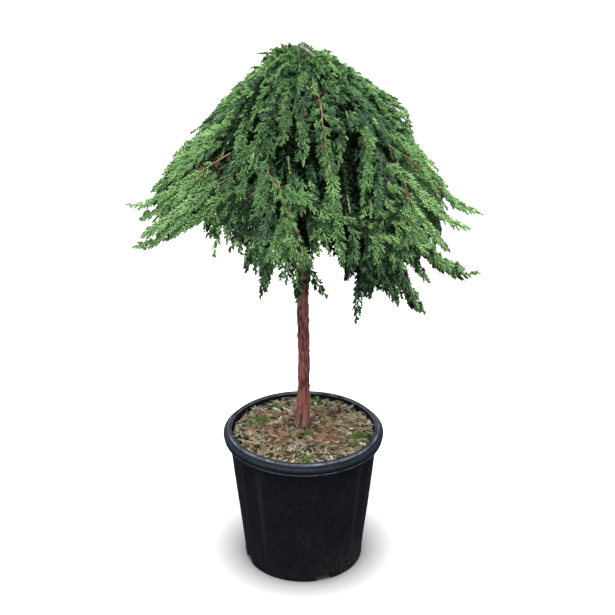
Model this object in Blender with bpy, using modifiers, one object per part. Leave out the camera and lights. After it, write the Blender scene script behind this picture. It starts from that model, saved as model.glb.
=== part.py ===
"""Potted weeping juniper: a grafted crown on a short straight trunk, in a black nursery pot.

Metres, +Z up. The origin is the centre of the pot's flat underside, -Y is the front and +X the
right. The plant is a trunk that runs up through its crown, boughs that leave it at three heights,
and masses of foliage that hang round it in tiers, one over the other like umbrellas.
"""
import math
import random
from collections import namedtuple

import bmesh
import bpy
from mathutils import Vector

# Clearance between pieces that touch on the real plant
CLEAR = 0.0003

# Pot: a 12 litre nursery pot with a rolled rim and four upright grooves
RIM_RADIUS = 0.150
RIM_TOP = 0.268
RIM_BULGE_Z = 0.261
RIM_CREST_RADIUS = 0.1436
RIM_INNER_RADIUS = 0.1378
SKIRT_Z = 0.2464
SKIRT_RADIUS = 0.1440
WALL_TOP_RADIUS = 0.1372
FOOT_Z = 0.018
WALL_FOOT_RADIUS = 0.1126
CORNER_Z = 0.006
CORNER_RADIUS = 0.1112
BASE_RADIUS = 0.1075
SHELL = 0.0026
POT_SIDES = 48
GROOVE_AZIMUTH = math.radians(54)
GROOVE_HALF_ANGLE = math.radians(10)
GROOVE_DEPTH = 0.0045
GROOVE_TOP = 0.236
GROOVE_FADE = 0.012
DRAINS = 4
DRAIN_AZIMUTH = math.radians(20)
DRAIN_WIDTH = 0.030
DRAIN_HEIGHT = 0.014
DRAIN_INNER = 0.092

# Potting mix: fills the pot and rises a little towards the trunk
SOIL_EDGE_Z = 0.250
SOIL_TOP = 0.272
SOIL_SEAT_RADIUS = 0.026
SOIL_RINGS = 2
SOIL_LUMP = 0.0018

# Trunk: leans a little to the front, swells to shallow roots at its foot
TRUNK_FOOT = Vector((-0.001, 0.011, SOIL_TOP + CLEAR))
TRUNK_TIP = Vector((0.000, 0.000, 0.952))
TRUNK_FOOT_RADIUS = 0.0112
TRUNK_GRAFT_RADIUS = 0.0100
TRUNK_TIP_RADIUS = 0.0038
TRUNK_STEP = 0.028
TRUNK_KNOB = 0.05
GRAFT_Z = 0.600
FLARE_RADIUS = 0.0070
FLARE_HEIGHT = 0.013
FLARE_ROOTS = 5
FLARE_RINGS = (0.0, 0.004, 0.010, 0.020, 0.036)

# Tie: a soft dark band round the trunk just under the crown
TIE_Z = 0.568
TIE_HEIGHT = 0.008
TIE_THICKNESS = 0.0018
TIE_SIDES = 16

# Crown outline: its radius is CROWN_SPREAD * (APEX - z) ** CROWN_POWER, up to CROWN_RADIUS,
# and it is a little wider from side to side than from front to back
APEX = 0.993
CROWN_SPREAD = 0.70
CROWN_POWER = 0.70
CROWN_RADIUS = 0.298
CROWN_STRETCH = 0.04

# The hem hangs at HEM_Z, lower by HEM_TILT towards the right front and higher opposite to it.
# A notch lifts it round an azimuth, over a half width, and draws the crown in there by a share.
HEM_Z = 0.632
HEM_TILT = 0.025
HEM_LOW_AZIMUTH = math.radians(75)
Notch = namedtuple("Notch", "azimuth half lift shrink")
NOTCHES = (
    Notch(math.radians(-48), math.radians(36), 0.060, 0.18),
    Notch(math.radians(7), math.radians(12), 0.070, 0.04),
)
NOTCH_TOP = 0.80
NOTCH_STEEPNESS = 2.2

# A tier hangs between its roof and its floor. Each is an umbrella: a height at the trunk and a
# droop that lowers it by the radius squared. Its masses share the circle from first_azimuth on.
# Boughs leave the trunk at limb_z and end at mass_start. rows holds the rows of sprays of a mass:
# the height of its tips, or their height over the hem where hangs is true, the number of sprays
# and their share of the crown's radius. The stem ends in the middle of the first row.
Tier = namedtuple("Tier", "name masses first_azimuth roof floor limb_z mass_start hangs rows")
CAP_ROOF = (0.950, 0.8)
CAP_FLOOR = (0.910, 2.25)
SHOULDER_FLOOR = (0.850, 1.6)
MIDDLE_FLOOR = (0.802, 1.38)
SKIRT_FLOOR = (0.740, 1.8)
GROUND = (0.300, 0.0)
TIERS = (
    Tier("cap", 5, 0.35, CAP_ROOF, CAP_FLOOR, 0.932, 0.0, False,
         ((0.838, 4, 1.0), (0.880, 3, 1.0), (0.915, 2, 1.0))),
    Tier("shoulder", 7, 0.0, CAP_FLOOR, SHOULDER_FLOOR, 0.885, 0.070, False,
         ((0.770, 4, 1.0), (0.802, 3, 1.0))),
    Tier("middle", 7, 0.25, SHOULDER_FLOOR, MIDDLE_FLOOR, 0.834, 0.090, False,
         ((0.708, 4, 1.0), (0.740, 3, 1.0))),
    Tier("skirt", 8, 0.0, MIDDLE_FLOOR, SKIRT_FLOOR, 0.781, 0.100, True,
         ((0.0, 4, 1.0), (0.035, 3, 0.97))),
    Tier("inner", 4, 0.4, SKIRT_FLOOR, GROUND, 0.735, 0.0, True,
         ((-0.022, 4, 0.48), (0.000, 3, 0.74))),
)
WALL_GAP = 0.0006
FLOOR_GAP = 0.0020
LIMB_RISE = 0.005
LIMB_SPREAD = 0.028
LIMB_RADIUS = 0.0033
LIMB_TIP_RADIUS = 0.0022

# Sprays: a twig with whorls of needled side shoots that point towards its tip, three to a whorl,
# two at its sides and a shorter one on its back
STEM_RADIUS = 0.0028
TWIG_RADIUS = 0.0018
SPRAY_WIDTH = 0.022
SPRAY_RIDGE = 0.50
SPRAY_WHORLS = 3
APEX_SPRAYS = 7
BARE_SHARE = 0.18
STEM_WHORLS = 2
STEM_BARE = 0.5
STEM_TRIES = 200
FIRST_ROOT = 0.08
LAST_ROOT = 0.46
TRIES = 90

GOLDEN = 0.618


def azimuth_point(radius, azimuth, z):
    """Point at a radius and an azimuth, which is counted from the front towards the right."""
    return Vector((radius * math.sin(azimuth), -radius * math.cos(azimuth), z))


def heading(azimuth):
    """Level direction away from the trunk."""
    return azimuth_point(1.0, azimuth, 0.0)


def turn_between(azimuth, other):
    """Angle between two azimuths, between -pi and pi."""
    return (azimuth - other + math.pi) % (2 * math.pi) - math.pi


def make_material(name, colour, roughness, metallic=0.0):
    """Principled material with a plain colour."""
    material = bpy.data.materials.new(name)
    material.use_nodes = True
    shader = material.node_tree.nodes["Principled BSDF"]
    shader.inputs["Base Color"].default_value = (*colour, 1.0)
    shader.inputs["Roughness"].default_value = roughness
    shader.inputs["Metallic"].default_value = metallic
    return material


def add_object(name, data, material, collection):
    """Object that holds the data, with one material, linked to a collection."""
    piece = bpy.data.objects.new(name, data)
    data.materials.clear()
    data.materials.append(material)
    collection.objects.link(piece)
    return piece


def evaluated_mesh(piece):
    """Mesh of an object as its modifiers or its bevel make it, with doubled points welded."""
    bpy.context.view_layer.update()
    depsgraph = bpy.context.evaluated_depsgraph_get()
    mesh = bpy.data.meshes.new_from_object(piece.evaluated_get(depsgraph))
    mesh.transform(piece.matrix_world)
    shape = bmesh.new()
    shape.from_mesh(mesh)
    bmesh.ops.remove_doubles(shape, verts=shape.verts, dist=0.00001)
    bmesh.ops.recalc_face_normals(shape, faces=shape.faces)
    shape.to_mesh(mesh)
    shape.free()
    return mesh


def apply_modifiers(piece):
    """Replace an object's mesh by the one that its modifiers make."""
    mesh = evaluated_mesh(piece)
    piece.modifiers.clear()
    piece.data = mesh


def turned_mesh(name, profile, sides, collection):
    """Mesh of a profile in (radius, height) turned round Z by a Screw modifier."""
    outline = bpy.data.meshes.new(name)
    edges = [(index, index + 1) for index in range(len(profile) - 1)]
    if profile[0][0] > 0:
        edges.append((len(profile) - 1, 0))
    outline.from_pydata([(radius, 0.0, z) for radius, z in profile], edges, [])
    blank = bpy.data.objects.new(name, outline)
    collection.objects.link(blank)
    screw = blank.modifiers.new("turn", "SCREW")
    screw.steps = sides
    screw.render_steps = sides
    screw.use_merge_vertices = True
    screw.merge_threshold = 0.0001
    mesh = evaluated_mesh(blank)
    bpy.data.objects.remove(blank)
    bpy.data.meshes.remove(outline)
    mesh.name = name
    return mesh


# Pot and potting mix

def wall_radius(z):
    """Outer radius of the pot's wall, grooves apart."""
    if z >= FOOT_Z:
        share = (z - FOOT_Z) / (SKIRT_Z - FOOT_Z)
        return WALL_FOOT_RADIUS + share * (WALL_TOP_RADIUS - WALL_FOOT_RADIUS)
    share = (z - CORNER_Z) / (FOOT_Z - CORNER_Z)
    return CORNER_RADIUS + share * (WALL_FOOT_RADIUS - CORNER_RADIUS)


def groove_depth(azimuth, z):
    """How far the wall is set in at an azimuth and a height."""
    folded = abs(math.atan2(abs(math.sin(azimuth)), abs(math.cos(azimuth))))
    off_centre = abs(folded - GROOVE_AZIMUTH)
    if off_centre >= GROOVE_HALF_ANGLE or z >= GROOVE_TOP:
        return 0.0
    across = 0.5 + 0.5 * math.cos(math.pi * off_centre / GROOVE_HALF_ANGLE)
    along = min(1.0, (GROOVE_TOP - z) / GROOVE_FADE)
    return GROOVE_DEPTH * min(1.0, 1.4 * across) * along


def set_in_grooves(mesh):
    """Move the wall's points in where a groove runs, and split the bent faces the same way."""
    for vertex in mesh.vertices:
        radius = math.hypot(vertex.co.x, vertex.co.y)
        if radius < DRAIN_INNER:
            continue
        azimuth = math.atan2(vertex.co.x, -vertex.co.y)
        share = 1.0 - groove_depth(azimuth, vertex.co.z) / radius
        vertex.co.x *= share
        vertex.co.y *= share
    shape = bmesh.new()
    shape.from_mesh(mesh)
    bmesh.ops.triangulate(shape, faces=shape.faces, quad_method="SHORT_EDGE")
    shape.to_mesh(mesh)
    shape.free()


def make_pot(material, collection, cutters):
    """Thin shell with a rolled rim, four grooves and four drain slots at its foot."""
    heights = (GROOVE_TOP, GROOVE_TOP - GROOVE_FADE, FOOT_Z, CORNER_Z)
    profile = [(RIM_CREST_RADIUS, RIM_TOP)]
    for step in range(1, 4):
        turn = step / 3 * math.pi / 2
        radius = RIM_CREST_RADIUS + (RIM_RADIUS - RIM_CREST_RADIUS) * math.sin(turn)
        profile.append((radius, RIM_BULGE_Z + (RIM_TOP - RIM_BULGE_Z) * math.cos(turn)))
    profile.append((SKIRT_RADIUS, SKIRT_Z))
    profile.append((WALL_TOP_RADIUS, SKIRT_Z + SHELL / 2))
    profile += [(wall_radius(z), z) for z in heights]
    profile += [(BASE_RADIUS, 0.0), (0.0, 0.0)]
    inside = [(0.0, SHELL), (BASE_RADIUS - SHELL, SHELL)]
    inside += [(wall_radius(z) - SHELL, z) for z in reversed(heights)]
    inside += [(WALL_TOP_RADIUS - SHELL, SKIRT_Z), (RIM_INNER_RADIUS, RIM_BULGE_Z)]
    profile = profile + inside
    outer = turned_mesh("pot", close_at_axis(profile), POT_SIDES, collection)
    set_in_grooves(outer)
    pot = add_object("pot", outer, material, collection)
    for index in range(DRAINS):
        azimuth = DRAIN_AZIMUTH + index * 2 * math.pi / DRAINS
        depth = RIM_RADIUS - DRAIN_INNER
        place = azimuth_point(DRAIN_INNER + depth / 2, azimuth, 0.0)
        bpy.ops.mesh.primitive_cube_add(size=1.0, location=place, rotation=(0, 0, azimuth))
        slot = bpy.context.object
        slot.name = f"drain_slot_{index + 1}"
        slot.scale = (DRAIN_WIDTH, depth, 2 * DRAIN_HEIGHT)
        for owner in slot.users_collection:
            owner.objects.unlink(slot)
        cutters.objects.link(slot)
        slot.hide_render = True
        slot.display_type = "WIRE"
        cut = pot.modifiers.new(slot.name, "BOOLEAN")
        cut.operation = "DIFFERENCE"
        cut.object = slot
    return pot


def close_at_axis(profile):
    """Profile that starts and ends where the shell's inner floor meets the axis."""
    start = profile.index((0.0, SHELL))
    return profile[start:] + profile[:start]


def make_potting_mix(material, collection):
    """Solid fill of the pot, 0.3 mm clear of its wall, with a lumpy top and a flat middle."""
    heights = (GROOVE_TOP - GROOVE_FADE, CORNER_Z)
    gap = SHELL + CLEAR
    edge = wall_radius(SOIL_EDGE_Z) - gap
    profile = [(0.0, SOIL_TOP), (SOIL_SEAT_RADIUS, SOIL_TOP)]
    for ring in range(1, SOIL_RINGS):
        share = ring / SOIL_RINGS
        radius = SOIL_SEAT_RADIUS + share * (edge - SOIL_SEAT_RADIUS)
        profile.append((radius, SOIL_EDGE_Z + (SOIL_TOP - SOIL_EDGE_Z) * (1 - share ** 2)))
    profile.append((edge, SOIL_EDGE_Z))
    profile += [(wall_radius(z) - gap, z) for z in heights]
    profile += [(BASE_RADIUS - gap - CLEAR, gap), (0.0, gap)]
    mesh = turned_mesh("potting_mix", profile, POT_SIDES, collection)
    set_in_grooves(mesh)
    rng = random.Random("potting_mix")
    for vertex in mesh.vertices:
        radius = math.hypot(vertex.co.x, vertex.co.y)
        if vertex.co.z > SOIL_EDGE_Z + SOIL_LUMP and radius > SOIL_SEAT_RADIUS + CLEAR:
            vertex.co.z += rng.uniform(-SOIL_LUMP, SOIL_LUMP)
    return add_object("potting_mix", mesh, material, collection)


# Trunk, tie and boughs

def trunk_axis(z):
    """Centre of the trunk at a height. Its first stretch is upright, so the foot is level."""
    share = max(0.0, (z - TRUNK_FOOT.z) / (TRUNK_TIP.z - TRUNK_FOOT.z))
    ease = share * share * (3 - 2 * share)
    sway = 0.0012 * math.sin(5 * math.pi * ease)
    centre = TRUNK_FOOT.lerp(TRUNK_TIP, ease)
    return Vector((centre.x + sway, centre.y, z))


def trunk_radius(z):
    """Radius of the trunk's wood: nearly even up to the graft, then tapering to the tip."""
    if z < GRAFT_Z:
        share = (z - TRUNK_FOOT.z) / (GRAFT_Z - TRUNK_FOOT.z)
        radius = TRUNK_FOOT_RADIUS + share * (TRUNK_GRAFT_RADIUS - TRUNK_FOOT_RADIUS)
    else:
        share = (z - GRAFT_Z) / (TRUNK_TIP.z - GRAFT_Z)
        radius = TRUNK_GRAFT_RADIUS + share * (TRUNK_TIP_RADIUS - TRUNK_GRAFT_RADIUS)
    return radius * (1 + TRUNK_KNOB * math.sin(z * 190.0) * math.sin(z * 77.0))


def trunk_heights():
    """Heights of the trunk's rings, closer together over the root flare."""
    heights = [TRUNK_FOOT.z + rise for rise in FLARE_RINGS]
    while heights[-1] + TRUNK_STEP < TRUNK_TIP.z:
        heights.append(heights[-1] + TRUNK_STEP)
    heights[-1] = TRUNK_TIP.z
    return heights


def trunk_at(z):
    """Centre and radius of the trunk's faceted bark at a height."""
    heights = trunk_heights()
    upper = next(index for index, height in enumerate(heights) if height >= z)
    below, above = heights[max(upper - 1, 0)], heights[max(upper, 1)]
    share = (z - below) / (above - below)
    centre = trunk_axis(below).lerp(trunk_axis(above), share)
    return centre, trunk_radius(below) * (1 - share) + trunk_radius(above) * share


def off_bark(z, way):
    """Point 0.3 mm outside the bark in a level direction."""
    reach = 0.0
    for level in (z - LIMB_RADIUS, z, z + LIMB_RADIUS):
        centre, radius = trunk_at(min(level, TRUNK_TIP.z))
        reach = max(reach, (centre + way * radius).dot(way))
    centre = trunk_at(z)[0]
    return centre + way * (reach + CLEAR - centre.dot(way))


def limb_curve(name, points, radii, resolution):
    """Curve data of a round tapering limb with filled ends."""
    curve = bpy.data.curves.new(name, "CURVE")
    curve.dimensions = "3D"
    curve.bevel_depth = 1.0
    curve.bevel_resolution = resolution
    curve.use_fill_caps = True
    spline = curve.splines.new("POLY")
    spline.points.add(len(points) - 1)
    for knot, point, radius in zip(spline.points, points, radii):
        knot.co = (*point, 1.0)
        knot.radius = radius
    return curve


def make_trunk(material, collection):
    """Whole trunk, from the flat cut on the potting mix to its tip inside the crown."""
    heights = trunk_heights()
    points = [trunk_axis(z) for z in heights]
    radii = [trunk_radius(z) for z in heights]
    curve = limb_curve("trunk", points, radii, 4)
    blank = bpy.data.objects.new("trunk", curve)
    collection.objects.link(blank)
    mesh = evaluated_mesh(blank)
    bpy.data.objects.remove(blank)
    for vertex in mesh.vertices:
        rise = vertex.co.z - TRUNK_FOOT.z
        centre = trunk_axis(vertex.co.z)
        outward = vertex.co - centre
        outward.z = 0.0
        if rise > 5 * FLARE_HEIGHT or outward.length < CLEAR:
            continue
        azimuth = math.atan2(outward.x, -outward.y)
        swell = FLARE_RADIUS * math.exp(-rise / FLARE_HEIGHT)
        swell *= 0.72 + 0.28 * math.cos(FLARE_ROOTS * azimuth + 0.6)
        vertex.co += outward.normalized() * swell
    return add_object("trunk", mesh, material, collection)


def make_tie(material, collection):
    """Band round the trunk with rounded edges, 0.3 mm clear of the bark."""
    heights = [TIE_Z + TIE_HEIGHT * (step / 4 - 0.5) for step in range(5)]
    inner = max(trunk_at(z)[1] for z in heights) + 2 * CLEAR
    soft = TIE_THICKNESS / 3
    outer = inner + TIE_THICKNESS
    top = TIE_Z + TIE_HEIGHT / 2
    foot = TIE_Z - TIE_HEIGHT / 2
    profile = [(outer - soft, top), (outer, top - soft), (outer, foot + soft),
               (outer - soft, foot), (inner, foot), (inner, top)]
    mesh = turned_mesh("trunk_tie", profile, TIE_SIDES, collection)
    centre = trunk_at(TIE_Z)[0]
    centre.z = 0.0
    for vertex in mesh.vertices:
        vertex.co += centre
    return add_object("trunk_tie", mesh, material, collection)


def curve_point(start, leaving, arriving, tip, share):
    """Point on a cubic curve between start and tip, with its two guide points."""
    rest = 1.0 - share
    return (start * rest ** 3 + leaving * (3 * rest * rest * share)
            + arriving * (3 * rest * share * share) + tip * share ** 3)


def bough_path(tier, azimuth, index):
    """Points of a bough from the trunk's bark to where its mass begins."""
    z = tier.limb_z + ((index * GOLDEN) % 1.0 - 0.5) * LIMB_SPREAD
    way = heading(azimuth)
    start = off_bark(z, way)
    middle = umbrella(tier.roof, tier.mass_start) + umbrella(tier.floor, tier.mass_start)
    end = azimuth_point(tier.mass_start, azimuth, middle / 2 + LIMB_RISE)
    leaving = start + way * tier.mass_start * 0.3
    arriving = end - way * tier.mass_start * 0.3
    first = start + way * LIMB_RADIUS
    last = end - way * LIMB_RADIUS
    points = [start]
    points += [curve_point(first, leaving, arriving, last, step / 2) for step in range(3)]
    points.append(end)
    return points


def make_bough(name, points, material, collection):
    """One tapering limb."""
    count = len(points) - 1
    radii = [LIMB_RADIUS + (LIMB_TIP_RADIUS - LIMB_RADIUS) * index / count
             for index in range(count + 1)]
    return add_object(name, limb_curve(name, points, radii, 1), material, collection)


# Foliage

Cell = namedtuple("Cell", "azimuth half roof floor")


def umbrella(shape, radius):
    """Height of an umbrella surface at a radius."""
    height, droop = shape
    return height - droop * radius * radius


def notch_share(notch, azimuth):
    """How far a notch is open at an azimuth: 1 over its middle, falling to 0 at its sides."""
    off_centre = abs(turn_between(azimuth, notch.azimuth)) / notch.half
    if off_centre >= 1:
        return 0.0
    return min(1.0, NOTCH_STEEPNESS * (0.5 + 0.5 * math.cos(math.pi * off_centre)))


def crown_radius(z, azimuth):
    """Outer radius of the crown at a height."""
    radius = CROWN_SPREAD * max(APEX - z, 0.0) ** CROWN_POWER
    radius = min(radius, CROWN_RADIUS) * (1 - CROWN_STRETCH * math.cos(2 * azimuth))
    depth = min(1.0, max(0.0, (NOTCH_TOP - z) / (NOTCH_TOP - HEM_Z)))
    for notch in NOTCHES:
        radius *= 1 - notch.shrink * depth * notch_share(notch, azimuth)
    return radius


def hem(azimuth):
    """Height that the lowest sprays hang down to."""
    height = HEM_Z - HEM_TILT * math.cos(azimuth - HEM_LOW_AZIMUTH)
    return height + sum(notch.lift * notch_share(notch, azimuth) for notch in NOTCHES)


def fits(point, cell):
    """Whether a point lies in the cell, clear of its side walls, its roof and its floor."""
    radius = math.hypot(point.x, point.y)
    if cell.half < math.pi:
        off_centre = abs(turn_between(math.atan2(point.x, -point.y), cell.azimuth))
        if off_centre >= cell.half or radius * math.sin(cell.half - off_centre) < WALL_GAP:
            return False
    return (point.z < umbrella(cell.roof, radius) - 2 * WALL_GAP
            and point.z > umbrella(cell.floor, radius) + FLOOR_GAP)


def runs_free(rings, cell):
    """Whether sections and the faces between them lie in the cell, tested at their midpoints."""
    points = [point for ring in rings for point in ring]
    for lower, upper in zip(rings[:-1], rings[1:]):
        points += [(point + other) / 2 for point in lower for other in upper]
    return all(fits(point, cell) for point in points)


def spray_rings(points, widths, faces=None):
    """Three-sided sections of a spray: two points at its sides and one on its back.

    Its back faces away from the trunk and up, or the direction given. Where the width is zero
    the section is a single point.
    """
    rings = []
    for index, (point, width) in enumerate(zip(points, widths)):
        if width == 0.0:
            rings.append([point])
            continue
        before = points[max(index - 1, 0)]
        after = points[min(index + 1, len(points) - 1)]
        along = (after - before).normalized()
        skyward = faces or heading(math.atan2(point.x, -point.y)) + Vector((0, 0, 0.9))
        across = along.cross(skyward).normalized()
        back = across.cross(along)
        belly = point - back * width * 0.12
        ridge = max(width * SPRAY_RIDGE, min(width, TWIG_RADIUS))
        rings.append([belly - across * width, belly + across * width, point + back * ridge])
    return rings


def spray_shape(whorls, bare, width, root):
    """Shares of a spray's length and its widths there; bare is the share without needles."""
    shares = [0.0, bare]
    widths = [root, max(root, TWIG_RADIUS)]
    for whorl in range(whorls):
        full = bare + (1 - bare) * (whorl + 1) / (whorls + 0.5)
        shares += [full, full + 0.10 * (1 - bare) / whorls]
        widths += [width * (1.0 - 0.40 * whorl / whorls), TWIG_RADIUS]
    shares[-1] = 1.0
    widths[-1] = 0.0
    return shares, widths


def loft_object(name, rings, collection):
    """Closed object through rings of three points or one; a first ring of three is capped."""
    shape = bmesh.new()
    loops = [[shape.verts.new(point) for point in ring] for ring in rings]
    if len(loops[0]) == 3:
        shape.faces.new(loops[0])
    for lower, upper in zip(loops[:-1], loops[1:]):
        for side in range(3):
            other = (side + 1) % 3
            if len(lower) == 3:
                shape.faces.new((lower[side], lower[other], upper[other % len(upper)]))
            if len(upper) == 3:
                shape.faces.new((lower[side % len(lower)], upper[other], upper[side]))
    bmesh.ops.recalc_face_normals(shape, faces=shape.faces)
    mesh = bpy.data.meshes.new(name)
    shape.to_mesh(mesh)
    shape.free()
    piece = bpy.data.objects.new(name, mesh)
    collection.objects.link(piece)
    return piece


def spray_path(start, tip, rise, shares):
    """Points of a spray that leaves upward and outward and then hangs down along the crown."""
    span = (tip - start).length
    azimuth = math.atan2(tip.x, -tip.y)
    over = tip.z + 0.42 * span
    shoulder = min(crown_radius(over, azimuth), math.hypot(tip.x, tip.y)) - 0.1 * span * (1 - rise)
    leaving = start + (tip - start) * 0.35 + Vector((0, 0, 0.45 * rise * span))
    arriving = azimuth_point(shoulder, azimuth, tip.z + 0.42 * rise * span)
    return [curve_point(start, leaving, arriving, tip, share) for share in shares]


def keep_largest_body(mesh):
    """Drop loose scraps that a union leaves."""
    shape = bmesh.new()
    shape.from_mesh(mesh)
    rest = set(shape.faces)
    bodies = []
    while rest:
        body = {rest.pop()}
        front = list(body)
        while front:
            for link in front.pop().edges:
                for face in link.link_faces:
                    if face not in body:
                        body.add(face)
                        front.append(face)
        rest -= body
        bodies.append(body)
    largest = max(bodies, key=len)
    scraps = [face for body in bodies if body is not largest for face in body]
    bmesh.ops.delete(shape, geom=scraps, context="FACES")
    shape.to_mesh(mesh)
    shape.free()


def join_mass(name, stem, parts, material):
    """Join a mass's stem with everything in its collection by one union."""
    union = stem.modifiers.new("union", "BOOLEAN")
    union.operation = "UNION"
    union.operand_type = "COLLECTION"
    union.collection = parts
    apply_modifiers(stem)
    for piece in list(parts.objects):
        bpy.data.objects.remove(piece)
    bpy.data.collections.remove(parts)
    stem.name = name
    keep_largest_body(stem.data)
    stem.data.materials.clear()
    stem.data.materials.append(material)
    return stem


def crowding(rings, placed):
    """How much a spray's needled sections crowd those of the sprays that are placed already."""
    total = 0.0
    for ring in rings[2:-1]:
        width = (ring[0] - ring[1]).length / 2
        for other in placed:
            for near in other:
                reach = width + (near[0] - near[1]).length / 2
                total += max(0.0, reach * 0.9 + 0.004 - (ring[2] - near[2]).length)
    return total


def row_sides(count, row):
    """Places of a row's sprays across a mass, from -1 to 1. The first row leaves out the middle."""
    if row > 0:
        return [(number + 0.5) / count * 2 - 1 for number in range(count)]
    slots = [(number + 0.5) / (count + 1) * 2 - 1 for number in range(count + 1)]
    return [side for side in slots if abs(side) > 0.5 / count]


def along_stem(shares, points, share):
    """Point on the straight stretches of a stem."""
    after = next(index for index, knot in enumerate(shares) if knot >= share)
    part = (share - shares[after - 1]) / (shares[after] - shares[after - 1])
    return points[after - 1].lerp(points[after], part)


def make_mass(name, tier, cell, start, limb, material, collection):
    """One mass of foliage: a stem that ends in needles, and rows of sprays that hang from it."""
    rng = random.Random(name)
    parts = bpy.data.collections.new(name + "_parts")
    bpy.context.scene.collection.children.link(parts)
    lowest = tier.rows[0][0] + (hem(cell.azimuth) if tier.hangs else 0.0)
    first_reach = tier.rows[0][2]
    out = heading(cell.azimuth)
    brim = crown_radius(lowest, cell.azimuth) * first_reach
    for attempt in range(STEM_TRIES):
        calm = 1 - attempt / STEM_TRIES
        end = azimuth_point(brim - rng.uniform(0.002, 0.022), cell.azimuth,
                            lowest + rng.uniform(0.0, 0.03) * (1 - calm))
        span = (end - start).length
        leaving = start + out * span * 0.40
        lift = rng.uniform(0.0, 0.45)
        shares, widths = spray_shape(STEM_WHORLS, STEM_BARE, SPRAY_WIDTH * (0.5 + 0.5 * calm),
                                     STEM_RADIUS)
        for share in (STEM_BARE / 2, STEM_RADIUS / span):
            shares.insert(1, share)
            widths.insert(1, STEM_RADIUS)
        arriving = end - out * span * 0.12 + Vector((0, 0, lift * span))
        stem_points = [curve_point(start, leaving, arriving, end, share) for share in shares]
        stem_points[1] = start + out * STEM_RADIUS
        stem_rings = spray_rings(stem_points, widths)
        if runs_free(stem_rings[2:], cell):
            break
    stem = loft_object(name + "_stem", stem_rings, collection)
    stem_shares = shares
    inward = (out + Vector((0, 0, 1))).normalized() * STEM_RADIUS * 0.2
    placed = [stem_rings[3:-1]]
    wanted = [(abs(side), side, row) for row in range(len(tier.rows))
              for side in row_sides(tier.rows[row][1], row)]
    wanted.sort(reverse=True)
    for rank, (_, place, row) in enumerate(wanted):
        height, _, reach = tier.rows[row]
        whorls = SPRAY_WHORLS if row == 0 else SPRAY_WHORLS - 1
        share = FIRST_ROOT + (LAST_ROOT - FIRST_ROOT) * rank / len(wanted)
        root = along_stem(stem_shares, stem_points, share) + inward
        best = None
        for attempt in range(TRIES):
            calm = 1 - attempt / TRIES
            side = place + rng.uniform(-0.12, 0.12)
            width = SPRAY_WIDTH * rng.uniform(0.85, 1.1) * (0.6 + 0.4 * calm)
            azimuth = cell.azimuth + side * (cell.half - width / CROWN_RADIUS)
            z = height + rng.uniform(-0.012, 0.012) + (hem(azimuth) if tier.hangs else 0.0)
            radius = crown_radius(z, azimuth) * reach - rng.uniform(0.004, 0.014)
            tip = azimuth_point(radius, azimuth, z)
            shares, widths = spray_shape(whorls, BARE_SHARE, width, 0.0)
            points = spray_path(root, tip, calm * rng.uniform(0.6, 1.0), shares)
            rings = spray_rings(points, widths)
            clear = all((point - spot).length > LIMB_RADIUS + CLEAR
                        for ring in rings[1:] for point in ring for spot in limb)
            if not (clear and runs_free(rings[1:], cell)):
                continue
            crowd = crowding(rings, placed)
            if best is None or crowd < best[0]:
                best = (crowd, rings)
        if best is not None:
            loft_object(f"{name}_spray_{len(placed)}", best[1], parts)
            placed.append(best[1][2:-1])
    return join_mass(name, stem, parts, material)


def make_apex(material, collection):
    """Topmost mass: an upright shoot on the trunk's tip with sprays that spread and hang over."""
    name = "foliage_apex"
    rng = random.Random(name)
    parts = bpy.data.collections.new(name + "_parts")
    bpy.context.scene.collection.children.link(parts)
    cell = Cell(0.0, math.pi, (APEX + 0.02, 0.0), CAP_ROOF)
    start = TRUNK_TIP + Vector((0, 0, CLEAR))
    top = Vector((0.002, 0.0, APEX))
    shares, widths = spray_shape(STEM_WHORLS, 0.4, SPRAY_WIDTH * 0.5, STEM_RADIUS)
    points = [start.lerp(top, share) for share in shares]
    stem_rings = spray_rings(points, widths, heading(0.0))
    stem = loft_object(name + "_stem", stem_rings, collection)
    placed = []
    for number in range(APEX_SPRAYS):
        root = start.lerp(top, 0.12 + 0.5 * (number * GOLDEN % 1.0))
        best = None
        for attempt in range(TRIES):
            azimuth = (number + rng.uniform(0.2, 0.8)) / APEX_SPRAYS * 2 * math.pi
            z = rng.uniform(0.944, 0.966)
            radius = crown_radius(z, azimuth) * rng.uniform(0.88, 0.98)
            tip = azimuth_point(radius, azimuth, z)
            shares, widths = spray_shape(2, BARE_SHARE, SPRAY_WIDTH, 0.0)
            rings = spray_rings(spray_path(root, tip, rng.uniform(0.5, 1.0), shares), widths)
            if not runs_free(rings, cell):
                continue
            crowd = crowding(rings, placed)
            if best is None or crowd < best[0]:
                best = (crowd, rings)
        if best is not None:
            loft_object(f"{name}_spray_{number}", best[1], parts)
            placed.append(best[1][2:-1])
    return join_mass(name, stem, parts, material)


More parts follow.
